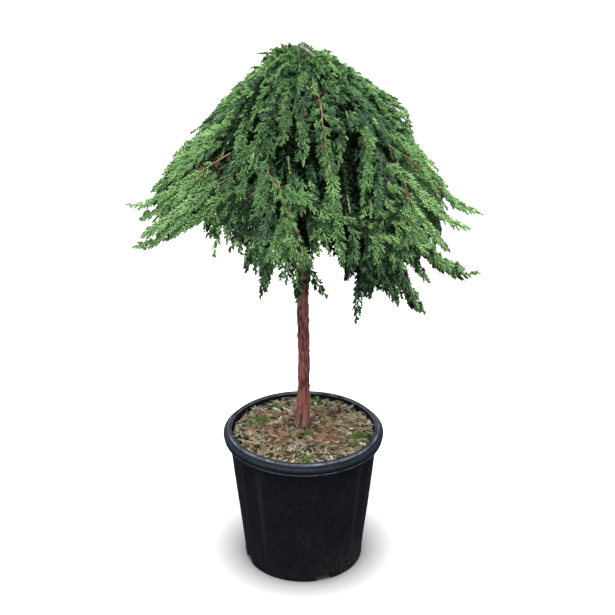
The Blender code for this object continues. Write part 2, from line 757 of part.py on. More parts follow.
def main():
    for piece in list(bpy.data.objects):
        bpy.data.objects.remove(piece)
    scene = bpy.context.scene
    plant = bpy.data.collections.new("potted_juniper")
    cutters = bpy.data.collections.new("cutters")
    scene.collection.children.link(plant)
    scene.collection.children.link(cutters)

    pot_plastic = make_material("pot_plastic", (0.016, 0.017, 0.019), 0.45)
    mulch = make_material("potting_mix", (0.16, 0.105, 0.06), 0.95)
    bark = make_material("bark", (0.19, 0.075, 0.05), 0.75)
    tie_rubber = make_material("tie_rubber", (0.012, 0.010, 0.010), 0.6)
    needles = make_material("needles", (0.075, 0.22, 0.07), 0.55)

    make_pot(pot_plastic, plant, cutters)
    make_potting_mix(mulch, plant)
    make_trunk(bark, plant)
    make_tie(tie_rubber, plant)

    for tier in TIERS:
        half = math.pi / tier.masses
        for index in range(tier.masses):
            azimuth = tier.first_azimuth + 2 * half * index
            cell = Cell(azimuth, half, tier.roof, tier.floor)
            way = heading(azimuth)
            limb = []
            if tier.mass_start > 0:
                limb = bough_path(tier, azimuth, index)
                make_bough(f"bough_{tier.name}_{index + 1}", limb, bark, plant)
                start = limb[-1] + way * CLEAR
            else:
                z = tier.limb_z + ((index * GOLDEN) % 1.0 - 0.5) * LIMB_SPREAD / 2
                start = off_bark(z, way)
            name = f"foliage_{tier.name}_{index + 1}"
            make_mass(name, tier, cell, start, limb, needles, plant)
    make_apex(needles, plant)


main()
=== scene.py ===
"""Looks of the potted weeping juniper: camera and light, then the pot, its potting mix and mulch,
the trunk with its tie, the boughs, and the hanging shoots with their needles."""
import math
import random

import bmesh
import bpy
import numpy as np
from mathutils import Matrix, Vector, noise


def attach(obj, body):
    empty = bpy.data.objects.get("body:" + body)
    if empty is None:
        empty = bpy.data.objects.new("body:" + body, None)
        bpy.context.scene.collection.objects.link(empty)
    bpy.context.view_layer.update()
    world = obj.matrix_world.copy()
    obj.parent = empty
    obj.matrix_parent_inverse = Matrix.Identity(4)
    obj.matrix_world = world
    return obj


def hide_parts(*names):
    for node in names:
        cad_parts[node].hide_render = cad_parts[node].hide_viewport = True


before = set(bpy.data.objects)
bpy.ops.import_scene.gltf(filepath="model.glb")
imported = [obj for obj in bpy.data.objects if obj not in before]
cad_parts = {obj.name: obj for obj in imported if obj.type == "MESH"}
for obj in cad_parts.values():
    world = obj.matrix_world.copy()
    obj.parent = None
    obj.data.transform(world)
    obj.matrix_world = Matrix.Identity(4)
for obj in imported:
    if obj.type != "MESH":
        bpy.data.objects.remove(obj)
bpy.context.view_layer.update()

bpy.ops.object.select_all(action="DESELECT")


# Camera and light
# The photo looks down at the plant by 24 degrees from about 2.5 m, in soft daylight on white.
LENS = 81.95
SENSOR_WIDTH = 36.0
CAMERA_PLACE = (0.0, -2.294, 1.555)
CAMERA_DOWN = 24.382
CAMERA_TURN = -0.00316
camera_data = bpy.data.cameras.new("camera")
camera_data.lens = LENS
camera_data.sensor_width = SENSOR_WIDTH
camera = bpy.data.objects.new("camera", camera_data)
camera.location = CAMERA_PLACE
camera.rotation_euler = (math.radians(90 - CAMERA_DOWN), 0.0, CAMERA_TURN)
bpy.context.scene.collection.objects.link(camera)
bpy.context.scene.camera = camera
bpy.context.scene.view_settings.view_transform = "Standard"

# The floor is painted darker close to the pot: a painted soft shadow over the reach below.
FLOOR_SIZE = 60.0
FLOOR_Z = -0.0005
SHADOW_REACH = 0.110
SHADOW_STOPS = ((0.34, (0.17, 0.17, 0.17)), (0.97, (0.80, 0.80, 0.80)))
bpy.ops.mesh.primitive_plane_add(size=FLOOR_SIZE, location=(0.0, 0.0, FLOOR_Z))
floor = bpy.context.object
floor.name = "studio_floor"
floor_paint = bpy.data.materials.new("studio_floor")
floor_paint.use_nodes = True
floor_shader = floor_paint.node_tree.nodes["Principled BSDF"]
closeness = floor_paint.node_tree.nodes.new("ShaderNodeAmbientOcclusion")
closeness.inputs["Distance"].default_value = SHADOW_REACH
closeness.inputs["Color"].default_value = (1.0, 1.0, 1.0, 1.0)
floor_ramp = floor_paint.node_tree.nodes.new("ShaderNodeValToRGB")
for element, (position, colour) in zip(floor_ramp.color_ramp.elements, SHADOW_STOPS):
    element.position = position
    element.color = (*colour, 1.0)
floor_paint.node_tree.links.new(closeness.outputs["AO"], floor_ramp.inputs["Fac"])
floor_paint.node_tree.links.new(floor_ramp.outputs["Color"], floor_shader.inputs["Base Color"])
floor_shader.inputs["Roughness"].default_value = 1.0
floor_shader.inputs["Specular IOR Level"].default_value = 0.0
floor.data.materials.append(floor_paint)
floor.visible_diffuse = False
floor.visible_glossy = False

# The sky is bright overhead, dimmer towards the horizon and dark underneath.
world = bpy.data.worlds.new("studio")
bpy.context.scene.world = world
world.use_nodes = True
sky = world.node_tree
background = sky.nodes["Background"]
ways = sky.nodes.new("ShaderNodeTexCoord")
split = sky.nodes.new("ShaderNodeSeparateXYZ")
sky.links.new(ways.outputs["Generated"], split.inputs[0])
heights = sky.nodes.new("ShaderNodeMapRange")
heights.inputs["From Min"].default_value = -1.0
heights.inputs["From Max"].default_value = 1.0
sky.links.new(split.outputs[2], heights.inputs["Value"])
sky_ramp = sky.nodes.new("ShaderNodeValToRGB")
SKY_STRENGTH = 0.90
SKY_STOPS = ((0.0, (0.045, 0.050, 0.045)), (0.40, (0.060, 0.065, 0.060)), (0.475, (0.55, 0.58, 0.60)),
             (0.62, (0.66, 0.70, 0.74)), (1.0, (0.95, 0.98, 1.0)))
while len(sky_ramp.color_ramp.elements) < len(SKY_STOPS):
    sky_ramp.color_ramp.elements.new(0.5)
for element, (position, colour) in zip(sky_ramp.color_ramp.elements, SKY_STOPS):
    element.position = position
    element.color = (*colour, 1.0)
sky.links.new(heights.outputs["Result"], sky_ramp.inputs["Fac"])
sky.links.new(sky_ramp.outputs["Color"], background.inputs["Color"])
background.inputs["Strength"].default_value = SKY_STRENGTH


def add_soft_sun(name, come_from, strength, spread, colour):
    """Wide soft light that comes from a direction."""
    lamp_data = bpy.data.lights.new(name, "SUN")
    lamp_data.energy = strength
    lamp_data.angle = math.radians(spread)
    lamp_data.color = colour
    lamp = bpy.data.objects.new(name, lamp_data)
    lamp.rotation_euler = Vector(come_from).to_track_quat("Z", "Y").to_euler()
    bpy.context.scene.collection.objects.link(lamp)


# name, direction it comes from, strength, width in degrees, colour
SUNS = (
    ("key_light", (0.01, -0.08, 1.0), 5.9, 42.0, (1.0, 0.985, 0.95)),
    ("front_fill", (-0.22, -1.0, 1.00), 0.70, 60.0, (0.97, 0.99, 1.0)),
)
for sun in SUNS:
    add_soft_sun(*sun)


# Pot
# A 12 litre nursery pot, blow-moulded in one piece from black recycled plastic: rolled rim with a
# skirt, tapering wall with four shallow upright grooves, and drain slots cut in at the foot.
POT_SIDES = 240
SKIRT_Z = 0.2464
WALL_TOP_RADIUS = 0.1378
WALL_FOOT_RADIUS = 0.1130
FOOT_Z = 0.018
CORNER_Z = 0.006
CORNER_RADIUS = 0.1120
BASE_RADIUS = 0.1098
SHELL = 0.0026
GROOVE_AZIMUTHS = tuple(math.radians(degrees) for degrees in (-49, 57, 131, -123))
GROOVE_HALF_ANGLE = math.radians(9)
GROOVE_DEPTH = 0.0034
GROOVE_TOP = 0.240
GROOVE_FADE = 0.020
GROOVE_FOOT = 0.022
DRAIN_AZIMUTH = math.radians(20)
DRAIN_SIZE = (0.030, 0.058, 0.028)
DRAIN_INNER = 0.092
WALL_RINGS = 30
WALL_END_Z = 0.2500
INSIDE_RINGS = 8
INSIDE_DEPTH = 0.05


def clamp(value):
    """Value held between 0 and 1."""
    return min(1.0, max(0.0, value))


def wall_radius(z):
    """Outer radius of the pot's wall, grooves apart."""
    if z >= FOOT_Z:
        share = (z - FOOT_Z) / (SKIRT_Z - FOOT_Z)
        return WALL_FOOT_RADIUS + share * (WALL_TOP_RADIUS - WALL_FOOT_RADIUS)
    share = (z - CORNER_Z) / (FOOT_Z - CORNER_Z)
    return CORNER_RADIUS + share * (WALL_FOOT_RADIUS - CORNER_RADIUS)


def groove_depth(azimuth, z):
    """How far the wall is set in at an azimuth and a height."""
    if not GROOVE_FOOT < z < GROOVE_TOP:
        return 0.0
    along = min(1.0, (GROOVE_TOP - z) / GROOVE_FADE) * min(1.0, (z - GROOVE_FOOT) / (2 * GROOVE_FADE))
    for groove in GROOVE_AZIMUTHS:
        off_centre = abs((azimuth - groove + math.pi) % (2 * math.pi) - math.pi) / GROOVE_HALF_ANGLE
        if off_centre < 1:
            across = min(1.0, 1.5 * (0.5 + 0.5 * math.cos(math.pi * off_centre)))
            return GROOVE_DEPTH * across * along * along * (3 - 2 * along)
    return 0.0


# Radii and heights of the rolled rim and its skirt, from under the skirt round to the inside.
RIM = ((0.1388, 0.2520), (0.1440, 0.2516), (0.1462, 0.2512), (0.1476, 0.2514), (0.1483, 0.2522),
       (0.1484, 0.2532), (0.1478, 0.2540), (0.1484, 0.2552), (0.1494, 0.2574), (0.1499, 0.2600),
       (0.1496, 0.2624), (0.1486, 0.2644), (0.1470, 0.2657), (0.1452, 0.2662), (0.1438, 0.2668),
       (0.1432, 0.2682), (0.1424, 0.2700), (0.1408, 0.2718), (0.1386, 0.2732), (0.1366, 0.2735),
       (0.1352, 0.2729), (0.1344, 0.2714), (0.1341, 0.2690), (0.1342, 0.2610), (0.1346, 0.2530))


def pot_profile():
    """Radii and heights of the pot's rings, from the middle of its underside round to the inside."""
    rings = [(BASE_RADIUS * 0.5, 0.0), (BASE_RADIUS, 0.0), (BASE_RADIUS + 0.0016, 0.0009)]
    rings += [(CORNER_RADIUS, 0.0035), (CORNER_RADIUS + 0.0008, 0.011)]
    for step in range(WALL_RINGS + 1):
        z = FOOT_Z + (WALL_END_Z - FOOT_Z) * step / WALL_RINGS
        rings.append((wall_radius(z), z))
    rings += RIM
    for step in range(INSIDE_RINGS + 1):
        z = SKIRT_Z - 0.004 - INSIDE_DEPTH * step / INSIDE_RINGS
        rings.append((wall_radius(z) - SHELL, z))
    return rings


profile = pot_profile()
bpy.ops.mesh.primitive_circle_add(
    vertices=POT_SIDES, radius=profile[0][0], fill_type="NGON", location=(0.0, 0.0, profile[0][1]))
pot = bpy.context.object
pot.name = "nursery_pot"
bpy.ops.object.transform_apply(location=True, rotation=True, scale=True)
bpy.ops.object.mode_set(mode="EDIT")
bpy.ops.mesh.select_mode(type="EDGE")
for (radius, z), (next_radius, next_z) in zip(profile[:-1], profile[1:]):
    bpy.ops.mesh.extrude_edges_move(TRANSFORM_OT_translate={"value": (0.0, 0.0, next_z - z)})
    share = next_radius / radius
    bpy.ops.transform.resize(value=(share, share, 1.0), center_override=(0.0, 0.0, next_z))
bpy.ops.mesh.select_all(action="SELECT")
bpy.ops.mesh.normals_make_consistent(inside=False)
bpy.ops.object.mode_set(mode="OBJECT")
# The wall is set in at the grooves, and wavers a little where it cooled unevenly.
WAVE_HEIGHT = 0.0005
SMALL_WAVE_HEIGHT = 0.0003
WAVE_START = 0.05
for vertex in pot.data.vertices:
    radius = math.hypot(vertex.co.x, vertex.co.y)
    azimuth = math.atan2(vertex.co.x, -vertex.co.y)
    set_in = groove_depth(azimuth, vertex.co.z) if radius > DRAIN_INNER else 0.0
    wave = WAVE_HEIGHT * math.sin(azimuth * 3 + 0.7)
    wave += SMALL_WAVE_HEIGHT * math.sin(azimuth * 7 + vertex.co.z * 31)
    share = 1.0 + (wave * min(1.0, vertex.co.z / WAVE_START) - set_in) / radius
    vertex.co.x *= share
    vertex.co.y *= share
# Pale stripes are painted along the raised edges beside the grooves as highlights: azimuth in degrees and
# strength.
PAINTED_GROOVE_HIGHLIGHTS = ((-38, 1.0), (-59, 0.6), (50, 1.0), (66, 0.6), (120, 0.8), (142, 0.8), (-112, 0.8), (-134, 0.8))
HIGHLIGHT_HALF_ANGLE = 3.2
# The painted highlights begin and end at these heights, over these lengths.
HIGHLIGHT_FOOT = (0.02, 0.10)
HIGHLIGHT_TOP = (0.246, 0.02)
painted_groove_highlight = pot.data.attributes.new("painted_groove_highlight", "FLOAT", "POINT")
for vertex in pot.data.vertices:
    degrees = math.degrees(math.atan2(vertex.co.x, -vertex.co.y))
    amount = 0.0
    for place, strength in PAINTED_GROOVE_HIGHLIGHTS:
        off = abs((degrees - place + 180) % 360 - 180) / HIGHLIGHT_HALF_ANGLE
        amount = max(amount, strength * max(0.0, 1 - off))
    rising = clamp((vertex.co.z - HIGHLIGHT_FOOT[0]) / HIGHLIGHT_FOOT[1])
    ending = clamp((HIGHLIGHT_TOP[0] - vertex.co.z) / HIGHLIGHT_TOP[1])
    painted_groove_highlight.data[vertex.index].value = amount * (rising * ending)
# Four slots are cut in at the foot, a quarter turn apart.
for quarter in range(4):
    azimuth = DRAIN_AZIMUTH + quarter * math.pi / 2
    reach = DRAIN_INNER + DRAIN_SIZE[1] / 2
    bpy.ops.mesh.primitive_cube_add(
        size=1.0, location=(reach * math.sin(azimuth), -reach * math.cos(azimuth), 0.0),
        rotation=(0.0, 0.0, azimuth), scale=DRAIN_SIZE)
    drain_cutter = bpy.context.object
    bpy.ops.object.select_all(action="DESELECT")
    bpy.context.view_layer.objects.active = pot
    pot.select_set(True)
    cut = pot.modifiers.new("drain", "BOOLEAN")
    cut.operation = "DIFFERENCE"
    cut.object = drain_cutter
    bpy.ops.object.modifier_apply(modifier=cut.name)
    bpy.data.objects.remove(drain_cutter)
bpy.ops.object.select_all(action="DESELECT")
pot.select_set(True)
bpy.context.view_layer.objects.active = pot
SHARP_ANGLE = math.radians(35)
bpy.ops.object.shade_smooth_by_angle(angle=SHARP_ANGLE)


def start_material(name, roughness):
    """Material with its node tree, its links and its shader."""
    material = bpy.data.materials.new(name)
    material.use_nodes = True
    tree = material.node_tree
    shader = tree.nodes["Principled BSDF"]
    shader.inputs["Roughness"].default_value = roughness
    return material, tree, shader


def add_noise(tree, place, scale, detail=3.0, roughness=0.55):
    """Noise texture on a vector output."""
    node = tree.nodes.new("ShaderNodeTexNoise")
    node.inputs["Scale"].default_value = scale
    node.inputs["Detail"].default_value = detail
    node.inputs["Roughness"].default_value = roughness
    tree.links.new(place, node.inputs["Vector"])
    return node


def add_ramp(tree, factor, stops):
    """Colour ramp over a factor. Stops are (place, colour)."""
    node = tree.nodes.new("ShaderNodeValToRGB")
    while len(node.color_ramp.elements) < len(stops):
        node.color_ramp.elements.new(0.5)
    for element, (position, colour) in zip(node.color_ramp.elements, stops):
        element.position = position
        element.color = (*colour, 1.0)
    tree.links.new(factor, node.inputs["Fac"])
    return node


def add_mask(tree, factor, start, end, low=0.0, high=1.0):
    """Share that goes from low to high between two values of a factor."""
    return add_ramp(tree, factor, [(start, (low, low, low)), (end, (high, high, high))]).outputs[0]


def add_mix(tree, factor, first, second):
    """Mix of two colours by a factor. A colour may be an output or three numbers."""
    node = tree.nodes.new("ShaderNodeMix")
    node.data_type = "RGBA"
    for value, socket in ((first, node.inputs[6]), (second, node.inputs[7])):
        if isinstance(value, tuple):
            socket.default_value = (*value, 1.0)
        else:
            tree.links.new(value, socket)
    if isinstance(factor, float):
        node.inputs[0].default_value = factor
    else:
        tree.links.new(factor, node.inputs[0])
    return node.outputs[2]


def add_bump(tree, shader, height, distance, strength=1.0):
    """Bump from a height output on the shader's normal."""
    node = tree.nodes.new("ShaderNodeBump")
    node.inputs["Distance"].default_value = distance
    node.inputs["Strength"].default_value = strength
    tree.links.new(height, node.inputs["Height"])
    tree.links.new(node.outputs["Normal"], shader.inputs["Normal"])


def object_place(tree, scale=(1.0, 1.0, 1.0)):
    """Object coordinates, stretched by a scale."""
    place = tree.nodes.new("ShaderNodeTexCoord")
    mapping = tree.nodes.new("ShaderNodeMapping")
    mapping.inputs["Scale"].default_value = scale
    tree.links.new(place.outputs["Object"], mapping.inputs["Vector"])
    return mapping.outputs["Vector"]


pot_plastic, tree, shader = start_material("pot_plastic_worn", 0.42)
shader.inputs["Specular IOR Level"].default_value = 0.30
place = object_place(tree)
height_share = tree.nodes.new("ShaderNodeSeparateXYZ")
tree.links.new(place, height_share.inputs[0])
cloud = add_noise(tree, place, 16.0, 4.0)
blotches = add_noise(tree, place, 75.0, 5.0, 0.65)
wall_colour = add_ramp(tree, blotches.outputs[0], [
    (0.35, (0.0074, 0.0073, 0.0125)), (0.7, (0.0132, 0.0128, 0.0200))])
# The wall gets its painted highlights beside the grooves.
painted_light = tree.nodes.new("ShaderNodeAttribute")
painted_light.attribute_name = "painted_groove_highlight"
highlight_share = add_mask(tree, painted_light.outputs["Fac"], 0.0, 1.0, high=0.75)
wall_with_highlights = add_mix(tree, highlight_share, wall_colour.outputs[0], (0.036, 0.037, 0.047))
# The rim has a painted highlight along its crest and painted shade in the groove under it, and its lower
# edge is rubbed pale: height and colour of each band.
RIM_LOW = 0.2490
RIM_HIGH = 0.2750
RIM_BANDS_AND_PAINTED_LIGHT = (
    (0.2498, (0.006, 0.007, 0.011)), (0.2514, (0.010, 0.012, 0.018)), (0.2524, (0.105, 0.108, 0.116)),
    (0.2538, (0.105, 0.108, 0.116)), (0.2548, (0.008, 0.012, 0.023)), (0.2630, (0.006, 0.010, 0.021)),
    (0.2652, (0.004, 0.007, 0.014)), (0.2690, (0.006, 0.009, 0.017)), (0.2700, (0.180, 0.205, 0.255)),
    (0.2718, (0.290, 0.325, 0.385)), (0.2725, (0.055, 0.068, 0.098)), (0.2745, (0.014, 0.021, 0.040)),
)
rim_height = tree.nodes.new("ShaderNodeMapRange")
rim_height.inputs["From Min"].default_value = RIM_LOW
rim_height.inputs["From Max"].default_value = RIM_HIGH
tree.links.new(height_share.outputs[2], rim_height.inputs["Value"])
rim_bands_and_light = add_ramp(tree, rim_height.outputs["Result"], [
    ((z - RIM_LOW) / (RIM_HIGH - RIM_LOW), colour) for z, colour in RIM_BANDS_AND_PAINTED_LIGHT])
faded = add_noise(tree, place, 55.0, 3.0)
fade = add_mask(tree, faded.outputs[0], 0.36, 0.60, low=0.15)
rim_colour = add_mix(tree, fade, (0.010, 0.015, 0.026), rim_bands_and_light.outputs[0])
on_rim = add_mask(tree, rim_height.outputs["Result"], 0.035, 0.06)
body_colour = add_mix(tree, on_rim, wall_with_highlights, rim_colour)
# Pale specks of dust lie all over, and splashed soil low down on the right.
speck_noise = add_noise(tree, place, 520.0, 2.0)
specks = add_mask(tree, speck_noise.outputs[0], 0.66, 0.72)
dusty = add_mix(tree, specks, body_colour, (0.130, 0.125, 0.120))
grit_noise = add_noise(tree, place, 330.0, 3.0)
low_down = add_mask(tree, height_share.outputs[2], 0.0, 0.085, 1.0, 0.0)
grit = add_mask(tree, grit_noise.outputs[0], 0.55, 0.64)
grit_low = add_mix(tree, low_down, (0.0, 0.0, 0.0), grit)
dirt_side = add_mask(tree, height_share.outputs[0], 0.0, 0.075, low=0.04)
dirt_here = add_mix(tree, dirt_side, (0.0, 0.0, 0.0), grit_low)
dirty = add_mix(tree, dirt_here, dusty, (0.150, 0.100, 0.060))
tree.links.new(dirty, shader.inputs["Base Color"])
rough = add_mask(tree, cloud.outputs[0], 0.3, 0.7, 0.40, 0.58)
tree.links.new(rough, shader.inputs["Roughness"])
fine = add_noise(tree, place, 900.0, 2.0)
add_bump(tree, shader, fine.outputs[0], 0.00012, 0.6)
pot.data.materials.clear()
pot.data.materials.append(pot_plastic)
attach(pot, "root")
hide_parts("pot")


# Potting mix
# Moist bark compost that fills the pot to 15 mm under its rim and rises a little to the trunk.
SOIL_EDGE_Z = 0.2585
SOIL_TOP = 0.272
SOIL_SEAT_RADIUS = 0.026
SOIL_EDGE = 0.1332
SOIL_SIDES = 160
SOIL_DEPTH = 0.030
SOIL_TAPER = 0.93
LUMP_PITCH = 34
LUMP_HEIGHT = 0.0028
SOIL_RISE = 0.86
SOIL_SINK = 0.0012


def soil_height(x, y):
    """Height of the bed of compost."""
    radius = math.hypot(x, y)
    share = clamp((radius - SOIL_SEAT_RADIUS) / (SOIL_EDGE - SOIL_SEAT_RADIUS))
    z = SOIL_EDGE_Z + (SOIL_TOP - SOIL_EDGE_Z) * (1 - share ** 2) * SOIL_RISE
    lump = noise.fractal(Vector((x * LUMP_PITCH, y * LUMP_PITCH, 0.0)), 0.8, 2.0, 4)
    return z - SOIL_SINK + LUMP_HEIGHT * lump


bpy.ops.mesh.primitive_circle_add(vertices=SOIL_SIDES, radius=SOIL_EDGE, fill_type="NOTHING",
                                  location=(0.0, 0.0, SOIL_EDGE_Z))
soil = bpy.context.object
soil.name = "compost"
bpy.ops.object.transform_apply(location=True, rotation=True, scale=True)
bpy.ops.object.mode_set(mode="EDIT")
bpy.ops.mesh.extrude_edges_move(TRANSFORM_OT_translate={"value": (0.0, 0.0, -SOIL_DEPTH)})
bpy.ops.mesh.select_all(action="DESELECT")
bpy.ops.object.mode_set(mode="OBJECT")
for edge in soil.data.edges:
    edge.select = all(soil.data.vertices[index].co.z > SOIL_EDGE_Z - 0.001 for index in edge.vertices)
bpy.ops.object.mode_set(mode="EDIT")
bpy.ops.mesh.select_mode(type="EDGE")
SOIL_RINGS = 58
for ring in range(SOIL_RINGS):
    share = (SOIL_RINGS - ring - 1 + 0.02) / (SOIL_RINGS - ring + 0.02)
    bpy.ops.mesh.extrude_edges_move()
    bpy.ops.transform.resize(value=(share, share, 1.0), center_override=(0.0, 0.0, SOIL_EDGE_Z))
bpy.ops.mesh.edge_face_add()
bpy.ops.mesh.select_all(action="SELECT")
bpy.ops.mesh.normals_make_consistent(inside=False)
bpy.ops.object.mode_set(mode="OBJECT")
for vertex in soil.data.vertices:
    if vertex.co.z > SOIL_EDGE_Z - 0.001:
        vertex.co.z = soil_height(vertex.co.x, vertex.co.y)
    if vertex.co.z < SOIL_EDGE_Z - 0.02:
        vertex.co.x *= SOIL_TAPER
        vertex.co.y *= SOIL_TAPER
if sum(face.normal.z for face in soil.data.polygons) < 0:
    soil.data.flip_normals()
bpy.ops.object.shade_smooth()

compost, tree, shader = start_material("compost", 0.95)
place = object_place(tree)
crumbs = add_noise(tree, place, 210.0, 5.0, 0.7)
patches = add_noise(tree, place, 26.0, 3.0)
crumb_colour = add_ramp(tree, crumbs.outputs[0], [
    (0.30, (0.006, 0.005, 0.004)), (0.50, (0.030, 0.021, 0.014)), (0.66, (0.085, 0.062, 0.040)),
    (0.80, (0.18, 0.145, 0.10))])
rusty = add_mask(tree, patches.outputs[0], 0.45, 0.62, high=0.8)
soil_colour = add_mix(tree, rusty, crumb_colour.outputs[0], (0.105, 0.042, 0.018))
tree.links.new(soil_colour, shader.inputs["Base Color"])
add_bump(tree, shader, crumbs.outputs[0], 0.0016)
soil.data.materials.clear()
soil.data.materials.append(compost)
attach(soil, "root")
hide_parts("potting_mix")


# Mulch
# Loose bark chips, grit, straw and dry rust-brown juniper needles lie on the compost. They are
# many small solids, each kind with its own few tints, thrown by a seeded rule.
mulch_rng = random.Random("mulch")


def put_mesh(name, points, faces, material, smooth=False):
    """New piece from arrays of points and of faces with the same number of corners."""
    mesh = bpy.data.meshes.new(name)
    points = np.ascontiguousarray(points, dtype=np.float32)
    faces = np.ascontiguousarray(faces, dtype=np.int32)
    corners = faces.shape[1]
    mesh.vertices.add(len(points))
    mesh.vertices.foreach_set("co", points.ravel())
    mesh.loops.add(faces.size)
    mesh.loops.foreach_set("vertex_index", faces.ravel())
    mesh.polygons.add(len(faces))
    mesh.polygons.foreach_set("loop_start", np.arange(0, faces.size, corners, dtype=np.int32))
    mesh.polygons.foreach_set("use_smooth", np.full(len(faces), smooth))
    mesh.update(calc_edges=True)
    mesh.materials.append(material)
    piece = bpy.data.objects.new(name, mesh)
    bpy.context.scene.collection.objects.link(piece)
    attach(piece, "root")
    return piece


def plain_tint(name, colour, roughness, spread=0.25, scale=60.0):
    """Material of one colour that varies a little in lightness from place to place."""
    material, tree, shader = start_material(name, roughness)
    shade = add_noise(tree, object_place(tree), scale, 2.0)
    low = tuple(channel * (1 - spread) for channel in colour)
    high = tuple(min(1.0, channel * (1 + spread)) for channel in colour)
    ramp = add_ramp(tree, shade.outputs[0], [(0.3, low), (0.7, high)])
    tree.links.new(ramp.outputs[0], shader.inputs["Base Color"])
    return material


def random_place(inner, outer):
    """Random point of the bed of mulch, even over its area."""
    radius = math.sqrt(mulch_rng.uniform(inner * inner, outer * outer))
    azimuth = mulch_rng.uniform(-math.pi, math.pi)
    return radius * math.sin(azimuth), -radius * math.cos(azimuth)


def on_the_bed(x, y, lift):
    """Point over the compost, held inside the pot's wall."""
    radius = math.hypot(x, y)
    limit = SOIL_EDGE - 0.0020
    if radius > limit:
        x, y = x * limit / radius, y * limit / radius
    return Vector((x, y, soil_height(x, y) + lift))


# Places of a chip's rings along its length, and the ranges of its measures.
CHIP_STATIONS = (-0.5, -0.18, 0.16, 0.5)
CHIP_LENGTHS = (0.006, 0.021)
CHIP_WIDTH_SHARES = (0.25, 0.55)
CHIP_THICKNESSES = (0.0006, 0.0016)
CHIP_LIFTS = (0.0006, 0.0042)
GRIT_SIZES = (0.0013, 0.0038)
# Looks of each kind: roughness, how much the lightness varies, and the scale of that.
CHIP_LOOK = (0.85, 0.35, 140.0)
GRIT_LOOK = (0.7, 0.3, 90.0)
STRAW_LOOK = (0.8, 0.3, 50.0)
STRAW_BEND = 1.6
STRAW_LIFTS = (0.001, 0.006)


def bark_chip(points, faces):
    """Curled chip of bark: a bent plate with a ragged outline."""
    x, y = random_place(0.016, SOIL_EDGE - 0.006)
    length = mulch_rng.uniform(*CHIP_LENGTHS)
    width = length * mulch_rng.uniform(*CHIP_WIDTH_SHARES)
    thick = mulch_rng.uniform(*CHIP_THICKNESSES)
    turn = mulch_rng.uniform(0, 2 * math.pi)
    tilt = mulch_rng.gauss(0.0, 0.28)
    roll = mulch_rng.gauss(0.0, 0.35)
    curl = mulch_rng.uniform(-0.25, 0.35) * width
    centre = on_the_bed(x, y, mulch_rng.uniform(*CHIP_LIFTS))
    along = Vector((math.cos(turn) * math.cos(tilt), math.sin(turn) * math.cos(tilt), math.sin(tilt)))
    across = along.cross(Vector((0, 0, 1))).normalized()
    across = (across * math.cos(roll) + along.cross(across) * math.sin(roll)).normalized()
    up = across.cross(along)
    if up.z < 0:
        up = -up
    first = len(points)
    for station in CHIP_STATIONS:
        taper = 1.0 - 1.1 * abs(station) * mulch_rng.uniform(0.6, 1.2)
        for side, rise in ((-0.5, 0.0), (0.0, curl), (0.5, 0.0)):
            place = (centre + along * (length * station * mulch_rng.uniform(0.86, 1.14))
                     + across * (width * side * taper) + up * rise)
            points.append(place + up * thick)
            points.append(place)
    for step in range(len(CHIP_STATIONS) - 1):
        here, there = first + step * 6, first + step * 6 + 6
        for side in (0, 2):
            faces.append((here + side, there + side, there + side + 2, here + side + 2))
            faces.append((here + side + 1, here + side + 3, there + side + 3, there + side + 1))
        faces.append((here, here + 1, there + 1, there))
        faces.append((here + 4, there + 4, there + 5, here + 5))
    last = first + (len(CHIP_STATIONS) - 1) * 6
    for side in (0, 2):
        faces.append((first + side, first + side + 2, first + side + 3, first + side + 1))
        faces.append((last + side, last + side + 1, last + side + 3, last + side + 2))


def grit_stone(points, faces):
    """Small rounded stone: a squashed and knocked-about ball."""
    x, y = random_place(0.018, SOIL_EDGE - 0.004)
    size = mulch_rng.uniform(*GRIT_SIZES)
    centre = on_the_bed(x, y, size * 0.45)
    shape = bmesh.new()
    bmesh.ops.create_icosphere(shape, subdivisions=2, radius=size)
    stretch = (mulch_rng.uniform(0.8, 1.4), mulch_rng.uniform(0.7, 1.1), mulch_rng.uniform(0.5, 0.85))
    first = len(points)
    for vertex in shape.verts:
        knock = 1.0 + mulch_rng.uniform(-0.07, 0.07)
        points.append(centre + Vector((vertex.co.x * stretch[0], vertex.co.y * stretch[1],
                                       vertex.co.z * stretch[2])) * knock)
    for face in shape.faces:
        faces.append(tuple(first + vertex.index for vertex in face.verts))
    shape.free()


def fibre(points, faces, length, radius, bend, lift, place=None, steps=6):
    """Thin three-sided bent fibre that lies on the mulch."""
    x, y = place if place else random_place(0.014, SOIL_EDGE - 0.006)
    turn = mulch_rng.uniform(0, 2 * math.pi)
    curve = mulch_rng.gauss(0.0, bend)
    arch = mulch_rng.uniform(0.0, 0.10) * length
    first = len(points)
    for step in range(steps + 1):
        share = step / steps
        angle = turn + curve * (share - 0.5)
        centre = on_the_bed(x, y, lift + arch * math.sin(math.pi * share))
        x += math.cos(angle) * length / steps
        y += math.sin(angle) * length / steps
        side = Vector((-math.sin(angle), math.cos(angle), 0.0))
        thick = radius * (0.35 + 0.65 * math.sin(math.pi * (0.12 + 0.76 * share)))
        points.append(centre + side * thick)
        points.append(centre - side * thick)
        points.append(centre + Vector((0, 0, thick * 1.5)))
    for step in range(steps):
        here, there = first + 3 * step, first + 3 * step + 3
        for corner in range(3):
            other = (corner + 1) % 3
            faces.append((here + corner, there + corner, there + other, here + other))


def strew(name, count, colour, look, make_one, smooth=False):
    """Piece of the mulch: many small solids of one tint."""
    points, faces = [], []
    for _ in range(count):
        make_one(points, faces)
    put_mesh(name, points, faces, plain_tint(name, colour, *look), smooth)


